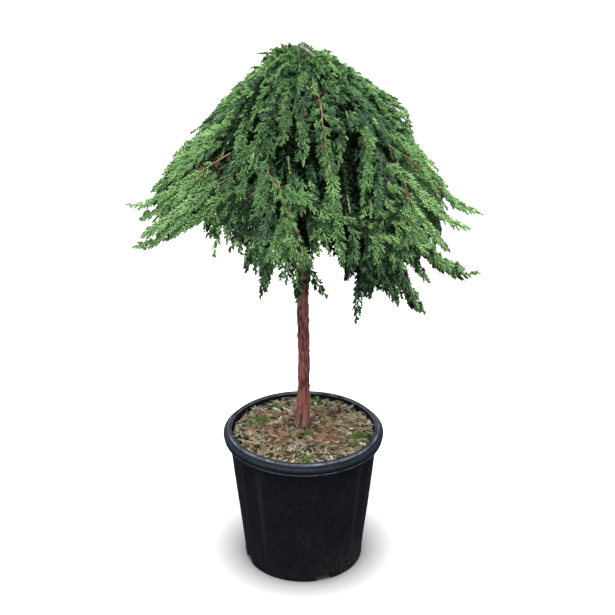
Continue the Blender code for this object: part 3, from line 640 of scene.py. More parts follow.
# name, how many, colour
CHIP_TINTS = (
    ("bark_chips_grey", 270, (0.400, 0.350, 0.280)),
    ("bark_chips_tan", 210, (0.520, 0.400, 0.250)),
    ("bark_chips_brown", 330, (0.062, 0.042, 0.028)),
    ("bark_chips_olive", 200, (0.350, 0.320, 0.170)),
    ("bark_chips_rust", 110, (0.400, 0.200, 0.100)),
    ("bark_chips_pale", 150, (0.860, 0.780, 0.620)),
)
for name, count, colour in CHIP_TINTS:
    strew(name, count, colour, CHIP_LOOK, bark_chip)

GRIT_TINTS = (
    ("grit_buff", 120, (0.640, 0.520, 0.370)),
    ("grit_grey", 150, (0.420, 0.400, 0.340)),
)
for name, count, colour in GRIT_TINTS:
    strew(name, count, colour, GRIT_LOOK, grit_stone, True)

# name, how many, colour, shortest, longest, radius
STRAW_TINTS = (
    ("straw_pale", 210, (0.720, 0.640, 0.400), 0.014, 0.050, 0.00052),
    ("straw_dull", 230, (0.370, 0.320, 0.170), 0.010, 0.036, 0.00045),
    ("root_threads", 110, (0.300, 0.160, 0.080), 0.020, 0.055, 0.00030),
)
for name, count, colour, shortest, longest, radius in STRAW_TINTS:
    strew(name, count, colour, STRAW_LOOK, lambda points, faces: fibre(
        points, faces, mulch_rng.uniform(shortest, longest), radius, STRAW_BEND,
        mulch_rng.uniform(*STRAW_LIFTS)))

# Dry needles gather in rust-brown drifts, with their middles at these places.
DRIFTS = ((-0.052, -0.002), (0.036, -0.016), (0.060, -0.030), (0.050, -0.060), (0.085, 0.030),
          (-0.045, -0.045), (0.020, 0.050), (0.028, -0.040))
DRIFT_NEEDLES = 75
DRIFT_SPREAD = (0.018, 0.013)
DRY_NEEDLE_LENGTHS = (0.007, 0.015)
DRY_NEEDLE_RADIUS = 0.00055
DRY_NEEDLE_BEND = 0.7
DRY_NEEDLE_LIFTS = (0.0015, 0.0062)
DRY_NEEDLE_TINTS = (("dry_needles_rust", (0.330, 0.145, 0.060)), ("dry_needles_tan", (0.520, 0.330, 0.180)))
for name, colour in DRY_NEEDLE_TINTS:
    points, faces = [], []
    for drift_x, drift_y in DRIFTS:
        for _ in range(DRIFT_NEEDLES):
            spot = (drift_x + mulch_rng.gauss(0, DRIFT_SPREAD[0]),
                    drift_y + mulch_rng.gauss(0, DRIFT_SPREAD[1]))
            fibre(points, faces, mulch_rng.uniform(*DRY_NEEDLE_LENGTHS), DRY_NEEDLE_RADIUS, DRY_NEEDLE_BEND,
                  mulch_rng.uniform(*DRY_NEEDLE_LIFTS), spot, 3)
    put_mesh(name, points, faces, plain_tint(name, colour, 0.8, 0.45, 70.0))


# Moss and weeds
# Small tufts of moss and seedling weeds have come up in the mulch: soft pointed leaves that lean
# outward. Each tuft is given by its place, its spread and its number of leaves.
LEAF_LENGTHS = (0.004, 0.009)
TUFTS = ((-0.086, 0.026, 0.010, 200), (0.104, -0.030, 0.010, 90), (0.010, -0.034, 0.008, 60),
         (0.006, -0.112, 0.006, 40), (0.088, -0.055, 0.009, 50), (0.030, 0.105, 0.014, 80),
         (-0.060, 0.085, 0.012, 60))
points, faces = [], []
for tuft_x, tuft_y, spread, blades in TUFTS:
    for _ in range(blades):
        foot = on_the_bed(tuft_x + mulch_rng.gauss(0, spread),
                          tuft_y + mulch_rng.gauss(0, spread * 0.7), 0.001)
        lean = mulch_rng.uniform(0, 2 * math.pi)
        out = Vector((math.cos(lean), math.sin(lean), 0.0))
        side = Vector((-out.y, out.x, 0.0))
        length = mulch_rng.uniform(*LEAF_LENGTHS)
        middle = foot + out * length * 0.35 + Vector((0, 0, length * 0.75))
        tip = foot + out * length * 0.95 + Vector((0, 0, length * mulch_rng.uniform(0.5, 1.0)))
        first = len(points)
        wide = length * mulch_rng.uniform(0.14, 0.26)
        points += [foot, middle + side * wide, tip, middle - side * wide]
        faces.append((first, first + 1, first + 2, first + 3))
put_mesh("moss_tufts", points, faces,
                 plain_tint("moss", (0.095, 0.215, 0.032), 0.8, 0.45, 120.0))


# Trunk
# The upright stock that the weeping plant is grafted on: 21 mm thick, with thin plum-red bark that
# shreds in upright strips, small knobs where shoots were rubbed off, and grey flakes at its foot.
TRUNK_FOOT = Vector((-0.0006, 0.011, SOIL_TOP + 0.0003))
TRUNK_TIP = Vector((0.0010, 0.000, 0.952))
TRUNK_FOOT_RADIUS = 0.0111
TRUNK_GRAFT_RADIUS = 0.0105
TRUNK_TIP_RADIUS = 0.0038
TRUNK_KNOB = 0.05
GRAFT_Z = 0.600
FLARE_RADIUS = 0.0070
FLARE_HEIGHT = 0.013
FLARE_ROOTS = 5
TRUNK_SIDES = 72
TRUNK_RINGS = 520


def trunk_axis(z):
    """Centre of the trunk at a height."""
    share = max(0.0, (z - TRUNK_FOOT.z) / (TRUNK_TIP.z - TRUNK_FOOT.z))
    ease = share * share * (3 - 2 * share)
    sway = 0.0012 * math.sin(5 * math.pi * ease)
    centre = TRUNK_FOOT.lerp(TRUNK_TIP, ease)
    return Vector((centre.x + sway, centre.y, z))


def trunk_radius(z):
    """Radius of the trunk's wood: nearly even up to the graft, then tapering to the tip."""
    if z < GRAFT_Z:
        share = (z - TRUNK_FOOT.z) / (GRAFT_Z - TRUNK_FOOT.z)
        radius = TRUNK_FOOT_RADIUS + share * (TRUNK_GRAFT_RADIUS - TRUNK_FOOT_RADIUS)
    else:
        share = (z - GRAFT_Z) / (TRUNK_TIP.z - GRAFT_Z)
        radius = TRUNK_GRAFT_RADIUS + share * (TRUNK_TIP_RADIUS - TRUNK_GRAFT_RADIUS)
    return radius * (1 + TRUNK_KNOB * math.sin(z * 190.0) * math.sin(z * 77.0))


# The knobs: azimuth, height, size and rise.
KNOBS = 17
trunk_rng = random.Random("trunk")
knobs = [(trunk_rng.uniform(0, 2 * math.pi), trunk_rng.uniform(0.30, 0.60),
          trunk_rng.uniform(0.0022, 0.0042), trunk_rng.uniform(0.0009, 0.0022)) for _ in range(KNOBS)]
knobs += [(math.radians(84), z, 0.0030, 0.0018) for z in (0.352, 0.425, 0.487, 0.515, 0.540)]
knobs += [(math.radians(-80), z, 0.0034, 0.0016) for z in (0.372, 0.455, 0.528)]

# How far the bark's strips and flakes rise, how deep and wide its cracks are, how far up the foot's
# bark is rougher, and the height over which it is calmer.
STRIP_RISE = 0.00055
FLAKE_RISE = 0.00040
CRACK_DEPTH = 0.0011
CRACK_WIDTH = 0.16
ROUGH_FOOT = 0.05
CALM_Z = 0.62


def bark_relief(azimuth, z, radius):
    """Height of the bark's strips and flakes over the wood, in metres."""
    around = Vector((math.sin(azimuth) * radius, math.cos(azimuth) * radius, 0.0))
    strips = noise.fractal(Vector((around.x * 330, around.y * 330, z * 26)), 0.7, 2.1, 3)
    flakes = noise.noise(Vector((around.x * 150, around.y * 150, z * 75 + 9)))
    crack = abs(noise.noise(Vector((around.x * 210, around.y * 210, z * 14 + 31))))
    cracked = CRACK_DEPTH * max(0.0, CRACK_WIDTH - crack) / CRACK_WIDTH
    return STRIP_RISE * strips + FLAKE_RISE * max(0.0, flakes) - cracked


points, relief = [], []
for ring in range(TRUNK_RINGS + 1):
    z = TRUNK_FOOT.z + (TRUNK_TIP.z - TRUNK_FOOT.z) * ring / TRUNK_RINGS
    centre = trunk_axis(z)
    wood = trunk_radius(z)
    rise = z - TRUNK_FOOT.z
    for spoke in range(TRUNK_SIDES):
        azimuth = 2 * math.pi * spoke / TRUNK_SIDES
        swell = FLARE_RADIUS * math.exp(-rise / FLARE_HEIGHT)
        swell *= 0.72 + 0.28 * math.cos(FLARE_ROOTS * azimuth + 0.6)
        height = bark_relief(azimuth, z, wood) * (1.0 if z < CALM_Z else 0.6)
        if rise < ROUGH_FOOT:
            height *= 1.0 + 1.2 * (1 - rise / ROUGH_FOOT)
        for knob_azimuth, knob_z, knob_size, knob_rise in knobs:
            off = (azimuth - knob_azimuth + math.pi) % (2 * math.pi) - math.pi
            away = math.hypot(off * wood, z - knob_z) / knob_size
            if away < 2.5:
                height += knob_rise * math.exp(-away * away)
        reach = wood + swell + height
        points.append((centre.x + reach * math.sin(azimuth), centre.y - reach * math.cos(azimuth), z))
        relief.append(height)
faces = []
for ring in range(TRUNK_RINGS):
    for spoke in range(TRUNK_SIDES):
        here = ring * TRUNK_SIDES + spoke
        there = ring * TRUNK_SIDES + (spoke + 1) % TRUNK_SIDES
        faces.append((here, there, there + TRUNK_SIDES, here + TRUNK_SIDES))

bark, tree, shader = start_material("bark_of_the_stock", 0.62)
place = object_place(tree, (1.0, 1.0, 0.16))
streaks = add_noise(tree, place, 420.0, 4.0, 0.65)
flaky = add_noise(tree, object_place(tree, (1.0, 1.0, 0.45)), 190.0, 3.0)
height_share = tree.nodes.new("ShaderNodeSeparateXYZ")
tree.links.new(object_place(tree), height_share.inputs[0])
depth = tree.nodes.new("ShaderNodeAttribute")
depth.attribute_name = "relief"
streak_colour = add_ramp(tree, streaks.outputs[0], [
    (0.28, (0.155, 0.044, 0.037)), (0.48, (0.450, 0.138, 0.110)), (0.62, (0.660, 0.238, 0.195)),
    (0.76, (0.78, 0.42, 0.35))])
flake_mask = add_mask(tree, flaky.outputs[0], 0.60, 0.70, high=0.75)
flaked = add_mix(tree, flake_mask, streak_colour.outputs[0], (0.50, 0.38, 0.335))
foot_mask = add_mask(tree, height_share.outputs[2], 0.272, 0.315, 0.62, 0.0)
footed = add_mix(tree, foot_mask, flaked, (0.40, 0.29, 0.25))
# Painted shade darkens the bark in its cracks.
crack_shade_mask = add_mask(tree, depth.outputs[2], 0.30, 0.50, 0.75, 0.0)
painted_light = add_mix(tree, crack_shade_mask, footed, (0.060, 0.022, 0.020))
tree.links.new(painted_light, shader.inputs["Base Color"])
add_bump(tree, shader, streaks.outputs[0], 0.0006, 0.7)
# The relief is kept as an attribute, so that cracks are painted dark as shade in them.
RELIEF_RANGE = 0.0022
trunk = put_mesh("trunk_bark", points, faces, bark, True)
relief_shade = trunk.data.attributes.new("relief", "FLOAT", "POINT")
relief_shade.data.foreach_set("value", [0.5 + height / RELIEF_RANGE for height in relief])
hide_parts("trunk")


# Tie
# A soft black band is wound tight round the stock just under the graft. It has a wrinkled edge.
TIE_Z = 0.568
TIE_HEIGHT = 0.008
TIE_THICKNESS = 0.0018
TIE_CLEARANCE = 0.0007
TIE_PUCKER = 0.045
bpy.ops.mesh.primitive_torus_add(
    major_radius=trunk_radius(TIE_Z) + TIE_CLEARANCE + TIE_THICKNESS / 2, minor_radius=TIE_THICKNESS / 2,
    major_segments=96, minor_segments=20, location=(0.0, 0.0, 0.0))
tie = bpy.context.object
tie.name = "graft_tie"
tie_centre = trunk_axis(TIE_Z)
for vertex in tie.data.vertices:
    azimuth = math.atan2(vertex.co.x, -vertex.co.y)
    share = vertex.co.z / (TIE_THICKNESS / 2)
    pucker = noise.noise(Vector((math.sin(azimuth) * 3, math.cos(azimuth) * 3, share * 1.5)))
    push = 1.0 + TIE_PUCKER * pucker
    lift = math.copysign(abs(share) ** 0.6, share) * TIE_HEIGHT / 2 + 0.0005 * pucker
    vertex.co = Vector((vertex.co.x * push + tie_centre.x, vertex.co.y * push + tie_centre.y, TIE_Z + lift))
bpy.ops.object.shade_smooth()
tie_rubber, tree, shader = start_material("tie_rubber_dull", 0.55)
place = object_place(tree, (1.0, 1.0, 3.0))
scuffs = add_noise(tree, place, 260.0, 3.0)
scuff_colour = add_ramp(tree, scuffs.outputs[0], [
    (0.4, (0.008, 0.006, 0.006)), (0.75, (0.035, 0.026, 0.024))])
tree.links.new(scuff_colour.outputs[0], shader.inputs["Base Color"])
add_bump(tree, shader, scuffs.outputs[0], 0.0003)
tie.data.materials.clear()
tie.data.materials.append(tie_rubber)
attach(tie, "root")
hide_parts("trunk_tie")


# Boughs
# Tapering limbs leave the trunk in tiers and arch out under the crown's surface, by the same rule
# as the solid boughs. The crown's shoots hang from them.
APEX = 0.993
CROWN_STRETCH = 0.03
CAP_ROOF = (0.950, 0.8)
CAP_FLOOR = (0.910, 2.25)
SHOULDER_FLOOR = (0.850, 1.6)
MIDDLE_FLOOR = (0.802, 1.38)
SKIRT_FLOOR = (0.740, 1.8)
LIMB_SPREAD = 0.028
GOLDEN = 0.618


def azimuth_point(radius, azimuth, z):
    """Point at a radius and an azimuth, which is counted from the front towards the right."""
    return Vector((radius * math.sin(azimuth), -radius * math.cos(azimuth), z))


# height, radius of the dense crown at its left, and at its right
PROFILE = ((0.600, 0.252, 0.232), (0.637, 0.258, 0.236), (0.674, 0.260, 0.240), (0.693, 0.260, 0.246),
           (0.712, 0.258, 0.250), (0.730, 0.249, 0.242), (0.748, 0.243, 0.231), (0.766, 0.236, 0.220),
           (0.785, 0.226, 0.207), (0.803, 0.214, 0.193), (0.820, 0.198, 0.187), (0.838, 0.184, 0.190),
           (0.856, 0.169, 0.193), (0.873, 0.160, 0.188), (0.891, 0.142, 0.156), (0.908, 0.120, 0.132),
           (0.925, 0.097, 0.105), (0.942, 0.081, 0.080), (0.959, 0.077, 0.064), (0.976, 0.064, 0.047),
           (0.990, 0.032, 0.022), (1.000, 0.006, 0.006))
PROFILE_Z, PROFILE_LEFT, PROFILE_RIGHT = zip(*PROFILE)


def crown_radius(z, azimuth):
    """Radius of the crown's dense body at a height."""
    rightness = 0.5 + 0.5 * math.sin(azimuth)
    left, right = np.interp(z, PROFILE_Z, PROFILE_LEFT), np.interp(z, PROFILE_Z, PROFILE_RIGHT)
    return float(right * rightness + left * (1 - rightness)) * (1 - CROWN_STRETCH * math.cos(2 * azimuth))


def umbrella(shape, radius):
    """Height of an umbrella surface at a radius."""
    height, droop = shape
    return height - droop * radius * radius


def curve_point(start, leaving, arriving, tip, share):
    """Point on a cubic curve between start and tip, with its two guide points."""
    rest = 1.0 - share
    return (start * rest ** 3 + leaving * (3 * rest * rest * share)
            + arriving * (3 * rest * share * share) + tip * share ** 3)


def curve_points(start, leaving, arriving, tip, steps):
    """Points of such a curve in even steps, with both ends."""
    return [curve_point(start, leaving, arriving, tip, step / steps) for step in range(steps + 1)]


# name: masses, first azimuth, roof, floor, height of the limbs, where the mass begins
TIERS = {
    "cap": (5, 0.35, CAP_ROOF, CAP_FLOOR, 0.932, 0.020),
    "shoulder": (7, 0.0, CAP_FLOOR, SHOULDER_FLOOR, 0.885, 0.070),
    "middle": (7, 0.25, SHOULDER_FLOOR, MIDDLE_FLOOR, 0.834, 0.090),
    "skirt": (8, 0.0, MIDDLE_FLOOR, SKIRT_FLOOR, 0.781, 0.100),
    "inner": (4, 0.4, SKIRT_FLOOR, SKIRT_FLOOR, 0.735, 0.020),
}
LIMB_RADIUS = 0.0036
LIMB_TIP_RADIUS = 0.0016
LIMB_STEPS = 14
LIMB_SIDES = 10
LIMB_LUMPS = 0.16
LIMB_INSET = 0.0015
LIMB_END = 0.05
# Points and faces of all the wood of each kind.
wood = {"bough": ([], []), "shoot": ([], [])}


def add_limb(kind, path, radii, sides, lumps):
    """Round tapering limb along a path, with a little relief."""
    points, faces = wood[kind]
    first = len(points)
    count = len(path)
    for index, (centre, radius) in enumerate(zip(path, radii)):
        along = (path[min(index + 1, count - 1)] - path[max(index - 1, 0)]).normalized()
        across = along.cross(Vector((0.31, 0.17, 0.93))).normalized()
        up = across.cross(along)
        for spoke in range(sides):
            angle = 2 * math.pi * spoke / sides
            away = across * math.cos(angle) + up * math.sin(angle)
            bump = 1.0 + lumps * noise.noise((centre + away * radius) * 420)
            points.append(centre + away * radius * bump)
    for ring in range(count - 1):
        for spoke in range(sides):
            here = first + ring * sides + spoke
            there = first + ring * sides + (spoke + 1) % sides
            faces.append((here, here + sides, there + sides, there))


limbs = {}
for name, (masses, first_azimuth, roof, floor_shape, limb_z, start_radius) in TIERS.items():
    for index in range(masses):
        azimuth = first_azimuth + 2 * math.pi * index / masses
        z = limb_z + ((index * GOLDEN) % 1.0 - 0.5) * LIMB_SPREAD
        way = azimuth_point(1.0, azimuth, 0.0)
        root = trunk_axis(z) + way * (trunk_radius(z) - LIMB_INSET)
        reach = max(start_radius, 0.04) + LIMB_END
        height = (umbrella(roof, reach) + umbrella(floor_shape, reach)) / 2 + 0.004
        tip = azimuth_point(reach, azimuth, height)
        leaving = root + way * reach * 0.3 + Vector((0, 0, 0.004))
        arriving = tip - way * reach * 0.35 + Vector((0, 0, 0.010))
        path = curve_points(root, leaving, arriving, tip, LIMB_STEPS)
        radii = [LIMB_RADIUS + (LIMB_TIP_RADIUS - LIMB_RADIUS) * step / LIMB_STEPS
                 for step in range(LIMB_STEPS + 1)]
        radii[0] *= 1.5
        radii[1] *= 1.15
        add_limb("bough", path, radii, LIMB_SIDES, LIMB_LUMPS)
        limbs[name, index] = path


# Leading shoots
# Long brown-stemmed shoots leave the boughs, come out through the crown's surface and hang down
# along it like shingles, row under row. Darker ones fill the crown behind them, as painted shade inside it.

# Azimuths in degrees, and the heights that the crown's edge hangs down to there.
HEM = ((-180, 0.640), (-160, 0.662), (-140, 0.630), (-120, 0.658), (-100, 0.644), (-90, 0.662),
       (-78, 0.684), (-66, 0.702), (-54, 0.716), (-42, 0.728), (-31, 0.708), (-22, 0.678),
       (-14, 0.672), (-6, 0.684), (2, 0.690), (8, 0.692), (13, 0.696), (19, 0.654), (25, 0.618),
       (30, 0.602), (36, 0.614), (42, 0.606), (50, 0.630), (61, 0.632), (70, 0.644), (88, 0.634),
       (100, 0.642), (115, 0.666), (130, 0.632), (150, 0.660), (165, 0.634), (180, 0.640))
HEM_DEGREES, HEM_HEIGHTS = zip(*HEM)


def hem(azimuth):
    """Height that the crown's edge hangs down to."""
    return float(np.interp((math.degrees(azimuth) + 180) % 360 - 180, HEM_DEGREES, HEM_HEIGHTS))


# tier, height of the tips or their rise over the hem, spacing, length that shows
ROWS = (
    ("cap", 0.964, 0.020, 0.035), ("cap", 0.947, 0.022, 0.048), ("cap", 0.928, 0.025, 0.062),
    ("cap", 0.906, 0.029, 0.080), ("shoulder", 0.882, 0.032, 0.098), ("shoulder", 0.856, 0.035, 0.112),
    ("shoulder", 0.829, 0.037, 0.125), ("middle", 0.802, 0.037, 0.132), ("middle", 0.774, 0.037, 0.138),
    ("middle", 0.746, 0.037, 0.140), ("middle", 0.717, 0.037, 0.140), ("skirt", 0.062, 0.035, 0.140),
    ("skirt", 0.032, 0.032, 0.140), ("skirt", 0.004, 0.028, 0.140),
)
LEADER_STEPS = 24
INNER_LENGTH = 0.09
TIP_SCATTER = 0.012
HEM_CLEARANCE = 0.004
# The tips' distance from the trunk goes in and out with the locks, at these pitches.
LOCK_PITCH = 6.5
LOCK_PITCH_Z = 9
# From this height down, over this length, shoots at the front and the back get fewer and slimmer.
LOW_Z = 0.83
LOW_FADE = 0.05
FEWER_LOW = 0.34
shoot_rng = random.Random("shoots")
leaders = []

# The dark gaps between the locks at the front: x and z of each middle, half its width and height.
FRONT_Y = -0.06
GAPS = ((0.077, 0.847, 0.018, 0.050), (0.082, 0.738, 0.026, 0.026), (0.018, 0.768, 0.016, 0.020),
        (-0.020, 0.866, 0.017, 0.020), (-0.021, 0.906, 0.017, 0.014), (-0.072, 0.892, 0.009, 0.012),
        (-0.082, 0.876, 0.010, 0.014), (0.014, 0.855, 0.010, 0.023), (0.063, 0.912, 0.018, 0.010),
        (-0.085, 0.764, 0.008, 0.026), (-0.061, 0.725, 0.008, 0.016), (0.139, 0.734, 0.008, 0.019),
        (-0.087, 0.730, 0.009, 0.012), (-0.040, 0.788, 0.007, 0.017), (0.127, 0.777, 0.007, 0.019),
        (-0.047, 0.845, 0.008, 0.015), (0.030, 0.804, 0.008, 0.014), (-0.005, 0.835, 0.008, 0.017),
        (-0.082, 0.819, 0.008, 0.012), (-0.121, 0.786, 0.007, 0.015), (0.051, 0.881, 0.008, 0.012),
        (0.116, 0.847, 0.006, 0.017), (-0.103, 0.790, 0.006, 0.014), (0.106, 0.800, 0.006, 0.016))


def gap_depth(x, y, z):
    """How far a place lies inside a gap: 0 at its edge and outside, 1 in its middle."""
    if y > FRONT_Y:
        return 0.0
    return max(0.0, *(1 - ((x - gap_x) / half_x) ** 2 - ((z - gap_z) / half_z) ** 2
                      for gap_x, gap_z, half_x, half_z in GAPS))


def frontness(azimuth):
    """1 at the front and at the back, less towards the sides, and 0 there."""
    return max(0.0, 1.0 - abs(math.sin(azimuth)) ** 3)


# Share of the way to the side from which shoots follow the slope, and height from which all do.
SLOPE_SIDE = 0.60
SLOPE_SIDE_FADE = 0.34
SLOPE_Z = 0.90
SLOPE_FADE = 0.05


def above_tip(tip, z, share, drift):
    """Point on the crown over a tip: plumb over it at front and back, up the slope at the sides."""
    azimuth = math.atan2(tip.x, -tip.y)
    here = share * crown_radius(z, azimuth)
    slope = clamp(max((abs(math.sin(azimuth)) - SLOPE_SIDE) / SLOPE_SIDE_FADE, (z - SLOPE_Z) / SLOPE_FADE))
    x = tip.x * (1 - slope * (1 - here / max(math.hypot(tip.x, tip.y), 0.001)))
    steepest = 0.97 + 0.03 * slope
    turn = math.asin(min(steepest, max(-steepest, x / here)))
    return azimuth_point(here, (turn if tip.y < 0 else math.pi - turn) + drift, z)


# The guide points of a leading shoot stay this far under the apex. The lower one has this share of
# the length and of the drift.
LEAVING_DROP = 0.012
ARRIVING_DROP = 0.010
ARRIVING_RISE = 0.45
ARRIVING_DRIFT = 0.4
# Its last part flicks outward, from this share of its length on.
FLICK_FROM = 0.70
FLICK_PART = 0.30
WAVE_BENDS = (5.0, 11.0)
WAVE_WIDTHS = (0.0015, 0.0045)


def hang_leader(root, tip, length, flick, drift):
    """Points of a leading shoot: out to the crown's surface, over, down along it, and out at its tip."""
    azimuth = math.atan2(tip.x, -tip.y)
    level = math.hypot(tip.x, tip.y)
    share = min(1.0, level / max(crown_radius(tip.z, azimuth), 0.001))
    leaving = above_tip(tip, min(tip.z + length, APEX - LEAVING_DROP), share, drift)
    arriving = above_tip(tip, min(tip.z + ARRIVING_RISE * length, APEX - ARRIVING_DROP), share,
                         drift * ARRIVING_DRIFT)
    out = azimuth_point(1.0, azimuth, 0.30)
    wave = shoot_rng.uniform(0, 6.28)
    bends = shoot_rng.uniform(*WAVE_BENDS)
    side = azimuth_point(shoot_rng.uniform(*WAVE_WIDTHS), azimuth + math.pi / 2, 0.0)
    path = []
    for step in range(LEADER_STEPS + 1):
        along = step / LEADER_STEPS
        late = max(0.0, along - FLICK_FROM) / FLICK_PART
        point = curve_point(root, leaving, arriving, tip, along) + out * flick * late * late
        path.append(point + side * math.sin(wave + along * bends))
    return path


def nearest_limb(tier, azimuth):
    """Limb of a tier that an azimuth falls to."""
    masses, first_azimuth = TIERS[tier][:2]
    index = round((azimuth - first_azimuth) * masses / (2 * math.pi)) % masses
    return limbs[tier, index]


# Each row's tips lie at this share of the crown's radius, and stray round the crown by this share
# of their spacing. Their shoots leave a limb in its outer part.
TIP_REACH = 0.955
TIP_STRAY = 0.34
LIMB_PART = (0.45, 1.0)
UNDER_REACH = (0.78, 0.88)
FRINGE_REACH = (0.70, 0.95)
for row, (tier, height, spacing, length) in enumerate(ROWS):
    mean_height = height if tier != "skirt" else 0.68 + height
    around = 2 * math.pi * crown_radius(mean_height, math.pi / 4)
    count = round(around / spacing)
    for number in range(count):
        azimuth = number + 0.5 * (row % 2) + shoot_rng.uniform(-TIP_STRAY, TIP_STRAY)
        azimuth = 2 * math.pi * azimuth / count
        azimuth = (azimuth + math.pi) % (2 * math.pi) - math.pi
        z = (hem(azimuth) if tier == "skirt" else 0.0) + height
        z += shoot_rng.uniform(-TIP_SCATTER, TIP_SCATTER)
        if z < hem(azimuth) + HEM_CLEARANCE and tier != "skirt":
            continue
        lock = noise.noise(Vector((math.sin(azimuth) * LOCK_PITCH, math.cos(azimuth) * LOCK_PITCH,
                                   z * LOCK_PITCH_Z)))
        side_on = max(0.0, abs(math.sin(azimuth)) - 0.5)
        reach = TIP_REACH + (0.100 - 0.10 * side_on) * lock
        reach += shoot_rng.uniform(-0.050, 0.045 - 0.04 * side_on)
        tip = azimuth_point(crown_radius(z, azimuth) * reach - 0.003, azimuth, z)
        limb = nearest_limb(tier, azimuth)
        root = limb[int(shoot_rng.uniform(*LIMB_PART) * (len(limb) - 1))]
        flick = shoot_rng.uniform(-0.002, 0.010) + 0.012 * side_on * (1.0 if z < 0.78 else 0.2)
        drift = shoot_rng.gauss(0.0, 0.07 if z < 0.86 else 0.26)
        own = length * shoot_rng.uniform(0.8, 1.2)
        left_out = FEWER_LOW * clamp((LOW_Z - z) / LOW_FADE) * frontness(azimuth)
        if shoot_rng.random() >= left_out:
            leaders.append(("outer", azimuth, hang_leader(root, tip, own, flick, drift)))
        if row > 1:
            azimuth += math.pi / count
            z += shoot_rng.uniform(-0.002, 0.020)
            reach = crown_radius(z, azimuth) * shoot_rng.uniform(*UNDER_REACH) - 0.004
            tip = azimuth_point(reach, azimuth, z)
            leaders.append(("under", azimuth, hang_leader(root, tip, own, 0.0, drift)))
        if tier == "skirt":
            for _ in range(2):
                azimuth += math.pi / count * shoot_rng.uniform(-1.5, 0.8)
                z = hem(azimuth) + shoot_rng.uniform(0.004, 0.060)
                tip = azimuth_point(crown_radius(z, azimuth) * shoot_rng.uniform(*FRINGE_REACH), azimuth, z)
                leaders.append(("inner", azimuth, hang_leader(limb[-3], tip, INNER_LENGTH, 0.0, drift)))

# More of them, dark as painted shade, fill the inside, each from the tier of limbs for its height: tier and
# upper end.
INNER_TIERS = (("inner", 0.74), ("skirt", 0.79), ("middle", 0.84), ("shoulder", 1.0))
INNER_LEADERS = 130
# Lowest place and range of their heights, and of their shares of the crown's radius.
INNER_Z = (0.660, 0.220)
INNER_REACH = (0.30, 0.50)
INNER_LIMB_PART = (0.1, 0.7)
for number in range(INNER_LEADERS):
    azimuth = (number * 2 * math.pi * GOLDEN + math.pi) % (2 * math.pi) - math.pi
    z = INNER_Z[0] + INNER_Z[1] * ((number * 0.731) % 1.0)
    reach = INNER_REACH[0] + INNER_REACH[1] * ((number * 0.417) % 1.0)
    tip = azimuth_point(crown_radius(z, azimuth) * reach, azimuth, z)
    tier = next(name for name, top in INNER_TIERS if z < top)
    limb = nearest_limb(tier, azimuth)
    root = limb[int(shoot_rng.uniform(*INNER_LIMB_PART) * (len(limb) - 1))]
    path = hang_leader(root, tip, INNER_LENGTH, 0.0, shoot_rng.gauss(0.0, 0.2))
    leaders.append(("inner", azimuth, path))

# The top is a dome of short shoots that point up and out from the end of the trunk.
TOP_SHOOTS = 60
TOP_Z = (0.950, 0.042)
TOP_ROOT = Vector((0.0, 0.0, 0.930))
TOP_REACH = (0.80, 1.10)
crown_top = Vector((-0.014, -0.002, APEX - 0.005))
for number in range(TOP_SHOOTS):
    azimuth = number * 2 * math.pi * GOLDEN
    z = TOP_Z[0] + TOP_Z[1] * ((number * 0.414) % 1.0)
    radius = max(0.014, crown_radius(z, azimuth) * shoot_rng.uniform(*TOP_REACH) - 0.002)
    tip = azimuth_point(radius, azimuth, z + shoot_rng.uniform(-0.002, 0.005)) + Vector((-0.007, 0.0, 0.0))
    root = TOP_ROOT.lerp(crown_top, shoot_rng.uniform(0.1, 0.75))
    leaving = root + (tip - root) * 0.4 + Vector((0, 0, 0.012))
    arriving = tip + (root - tip) * 0.25 + Vector((0, 0, 0.008))
    leaders.append(("top", azimuth, curve_points(root, leaving, arriving, tip, LEADER_STEPS)))
upright = [Vector((0.0, 0.0, 0.945)).lerp(crown_top, step / LEADER_STEPS)
           for step in range(LEADER_STEPS + 1)]
leaders.append(("top", 0.0, upright))

